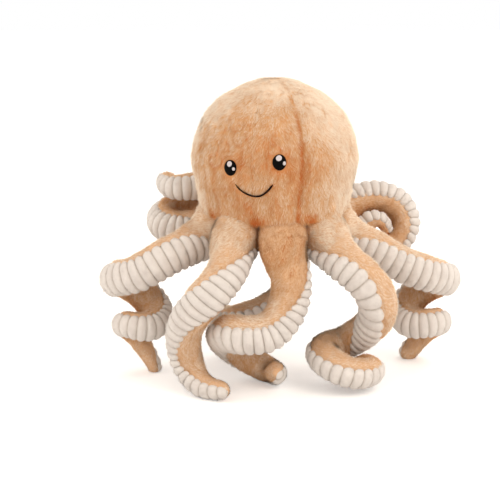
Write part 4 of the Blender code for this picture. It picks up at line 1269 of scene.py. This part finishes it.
def build_smile():
    """The smile: three strands of thread twisted round the path, thinner at its left end."""
    face = bpy.context.scene.octopus_face
    path = resample(smile_path(SMILE_LIFT), SMILE_ROWS)
    along = unit(np.gradient(path, axis=0))
    side = unit(np.cross(along, unit(path - MIDDLE)))
    out = np.cross(side, along)
    t = np.linspace(0.0, 2.0 * math.pi, SMILE_SIDES, endpoint=False)
    share = np.linspace(0.0, 1.0, len(path))
    pointed = np.minimum(1.0, SMILE_POINT + SMILE_POINT_SLOPE * np.minimum(share, 1.0 - share))
    thick = face.thread * (SMILE_THIN + SMILE_GROWTH * share) * pointed
    twist = 2.0 * math.pi * SMILE_TURNS * share
    reach = thick[:, None] * (1.0 + SMILE_LOBE * np.cos(SMILE_PLIES * (t[None] + twist[:, None])))
    ring = np.cos(t)[None, :, None] * side[:, None] + np.sin(t)[None, :, None] * out[:, None]
    rings = path[:, None] + reach[..., None] * ring
    item = closed_shell("smile_thread", rings, path[0], path[-1], shared("dark_stem_stitch"))
    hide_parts("smile")
    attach(item, "head")


def area_light(name, place_at, aim, size, power, colour):
    """A soft square lamp aimed at a point."""
    data = bpy.data.lights.new(name, "AREA")
    data.size, data.energy, data.color = size, power, linear(colour)[:3]
    lamp = bpy.data.objects.new(name, data)
    lamp.location = place_at
    lamp.rotation_euler = (Vector(aim) - Vector(place_at)).to_track_quat("-Z", "Y").to_euler()
    bpy.context.scene.collection.objects.link(lamp)


def seen_rays(owner):
    """1 for the rays that the camera sends, straight or by way of gloss or glass, 0 for light's own."""
    path = add(owner, "ShaderNodeLightPath").outputs
    total = path["Is Camera Ray"]
    for name in ("Is Glossy Ray", "Is Transmission Ray"):
        both = add(owner, "ShaderNodeMath", {"operation": "ADD", "use_clamp": True}, total, path[name])
        total = both.outputs[0]
    return total


def build_floor():
    """A pale floor, wide enough to fill every view."""
    material = new_material("pale_studio_floor")
    shader = add(material, "ShaderNodeBsdfPrincipled", {"Base Color": linear("F4F3F2"), "Roughness": 0.9})
    lift = add(material, "ShaderNodeMath", {"operation": "MULTIPLY"}, seen_rays(material))
    lift.inputs[1].default_value = FLOOR_GLOW
    glow = add(material, "ShaderNodeEmission", {"Color": linear("FFFFFF")}, Strength=lift.outputs[0])
    both = add(material, "ShaderNodeAddShader", {}, shader.outputs[0], glow.outputs[0])
    add(material, "ShaderNodeOutputMaterial", {}, both.outputs[0])
    points = FLOOR_HALF * np.array([(-1.0, -1.0, 0.0), (1.0, -1.0, 0.0), (1.0, 1.0, 0.0), (-1.0, 1.0, 0.0)])
    floor = mesh_piece("floor", points, [(0, 1, 2, 3)], np.zeros((0, 3)), material)


def build_world():
    """Even pale surroundings for light, white where the camera sees them."""
    world = bpy.data.worlds.new("pale_studio")
    bpy.context.scene.world = world
    world.use_nodes = True
    world.node_tree.nodes.clear()
    light = add(world, "ShaderNodeBackground", {"Color": linear("FFF6EB"), "Strength": 1.0})
    seen = add(world, "ShaderNodeBackground", {"Color": linear("FFFFFF"), "Strength": 1.0})
    mix = add(world, "ShaderNodeMixShader", {}, seen_rays(world), light.outputs[0], seen.outputs[0])
    add(world, "ShaderNodeOutputWorld", {}, mix.outputs[0])


def build_camera():
    """A camera at the photograph's angle, aimed so that the head lies where the photograph has it."""
    stage = bpy.context.scene.octopus_stage
    azimuth, elevation = math.radians(stage.azimuth), math.radians(stage.elevation)
    back = np.array([math.sin(azimuth) * math.cos(elevation), -math.cos(azimuth) * math.cos(elevation),
                     math.sin(elevation)])
    target = MIDDLE + place(TARGET_SHARES) * HEAD_RADIUS
    data = bpy.data.cameras.new("camera")
    data.lens, data.sensor_width = stage.lens, SENSOR_WIDTH
    data.clip_start, data.clip_end = CLIP
    camera = bpy.data.objects.new("camera", data)
    camera.location = target + back * stage.distance
    camera.rotation_euler = Vector(-back).to_track_quat("-Z", "Y").to_euler()
    bpy.context.scene.collection.objects.link(camera)
    bpy.context.scene.camera = camera


class HeadOperator(bpy.types.Operator):
    """Build the head's skin and pile"""
    bl_idname = "octopus.head"
    bl_label = "Head"

    def execute(self, context):
        build_head_skin()
        for gore, start, end in zip(GORES, SEAM_ANGLES[:-1], SEAM_ANGLES[1:]):
            build_head_pile(gore, start, end)
        return {"FINISHED"}


class FaceOperator(bpy.types.Operator):
    """Build the stitched eyes, their highlights and the smile"""
    bl_idname = "octopus.face"
    bl_label = "Face"

    def execute(self, context):
        face = context.scene.octopus_face
        for name, (azimuth, elevation) in EYES.items():
            build_oval(name, azimuth, elevation, face.half_width, face.half_height, EYE_LIFT, face.crown,
                       shared("black_satin_stitch"))
        for name, (azimuth, elevation, wide, tall) in GLINTS.items():
            build_oval(name, azimuth, elevation, face.half_width * wide, face.half_height * tall,
                       face.crown * GLINT_LIFT_SHARE, face.crown * GLINT_CROWN_SHARE,
                       shared("white_satin_stitch"))
        build_smile()
        return {"FINISHED"}


class ArmsOperator(bpy.types.Operator):
    """Build the eight arms: ribbed skin, fur skin and pile"""
    bl_idname = "octopus.arms"
    bl_label = "Arms"

    def execute(self, context):
        for name in ARMS:
            arm = Arm(name)
            pieces = [*build_arm_panels(arm), build_arm_pile(arm), build_rib_pile(arm)]
            for piece in pieces:
                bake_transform(piece)
        return {"FINISHED"}


class StageOperator(bpy.types.Operator):
    """Build the floor, the light and the camera"""
    bl_idname = "octopus.stage"
    bl_label = "Stage"

    def execute(self, context):
        build_floor()
        build_world()
        build_camera()
        aim = tuple(MIDDLE - (0.0, 0.0, LAMP_DROP))
        for name, (lamp_place, size, power, colour) in LAMPS.items():
            area_light(name, lamp_place, aim, size, power, colour)
        context.scene.view_settings.view_transform = "Standard"
        return {"FINISHED"}


class OctopusPanel(bpy.types.Panel):
    """Lists the pieces and their settings."""
    bl_idname = "VIEW3D_PT_octopus"
    bl_label = "Plush octopus"
    bl_space_type = "VIEW_3D"
    bl_region_type = "UI"
    bl_category = "Plush octopus"

    def draw(self, context):
        for operator in OPERATORS:
            self.layout.operator(operator.bl_idname)
        for group in SETTINGS:
            box = self.layout.box()
            settings = getattr(context.scene, group)
            for key in SETTINGS[group].__annotations__:
                box.prop(settings, key)


SETTINGS = {"octopus_pile": PileSettings, "octopus_rib": RibSettings, "octopus_face": FaceSettings,
            "octopus_stage": StageSettings}
OPERATORS = (HeadOperator, FaceOperator, ArmsOperator, StageOperator)


def register():
    """Register the settings, the operators and the panel."""
    for kind in (*SETTINGS.values(), *OPERATORS, OctopusPanel):
        bpy.utils.register_class(kind)
    for name, kind in SETTINGS.items():
        setattr(bpy.types.Scene, name, bpy.props.PointerProperty(type=kind))


def unregister():
    """Remove them again."""
    for name in SETTINGS:
        delattr(bpy.types.Scene, name)
    for kind in reversed((*SETTINGS.values(), *OPERATORS, OctopusPanel)):
        bpy.utils.unregister_class(kind)


def main():
    """Build every piece."""
    register()
    bpy.ops.octopus.stage()
    bpy.ops.octopus.head()
    bpy.ops.octopus.face()
    bpy.ops.octopus.arms()


if __name__ == "__main__":
    main()
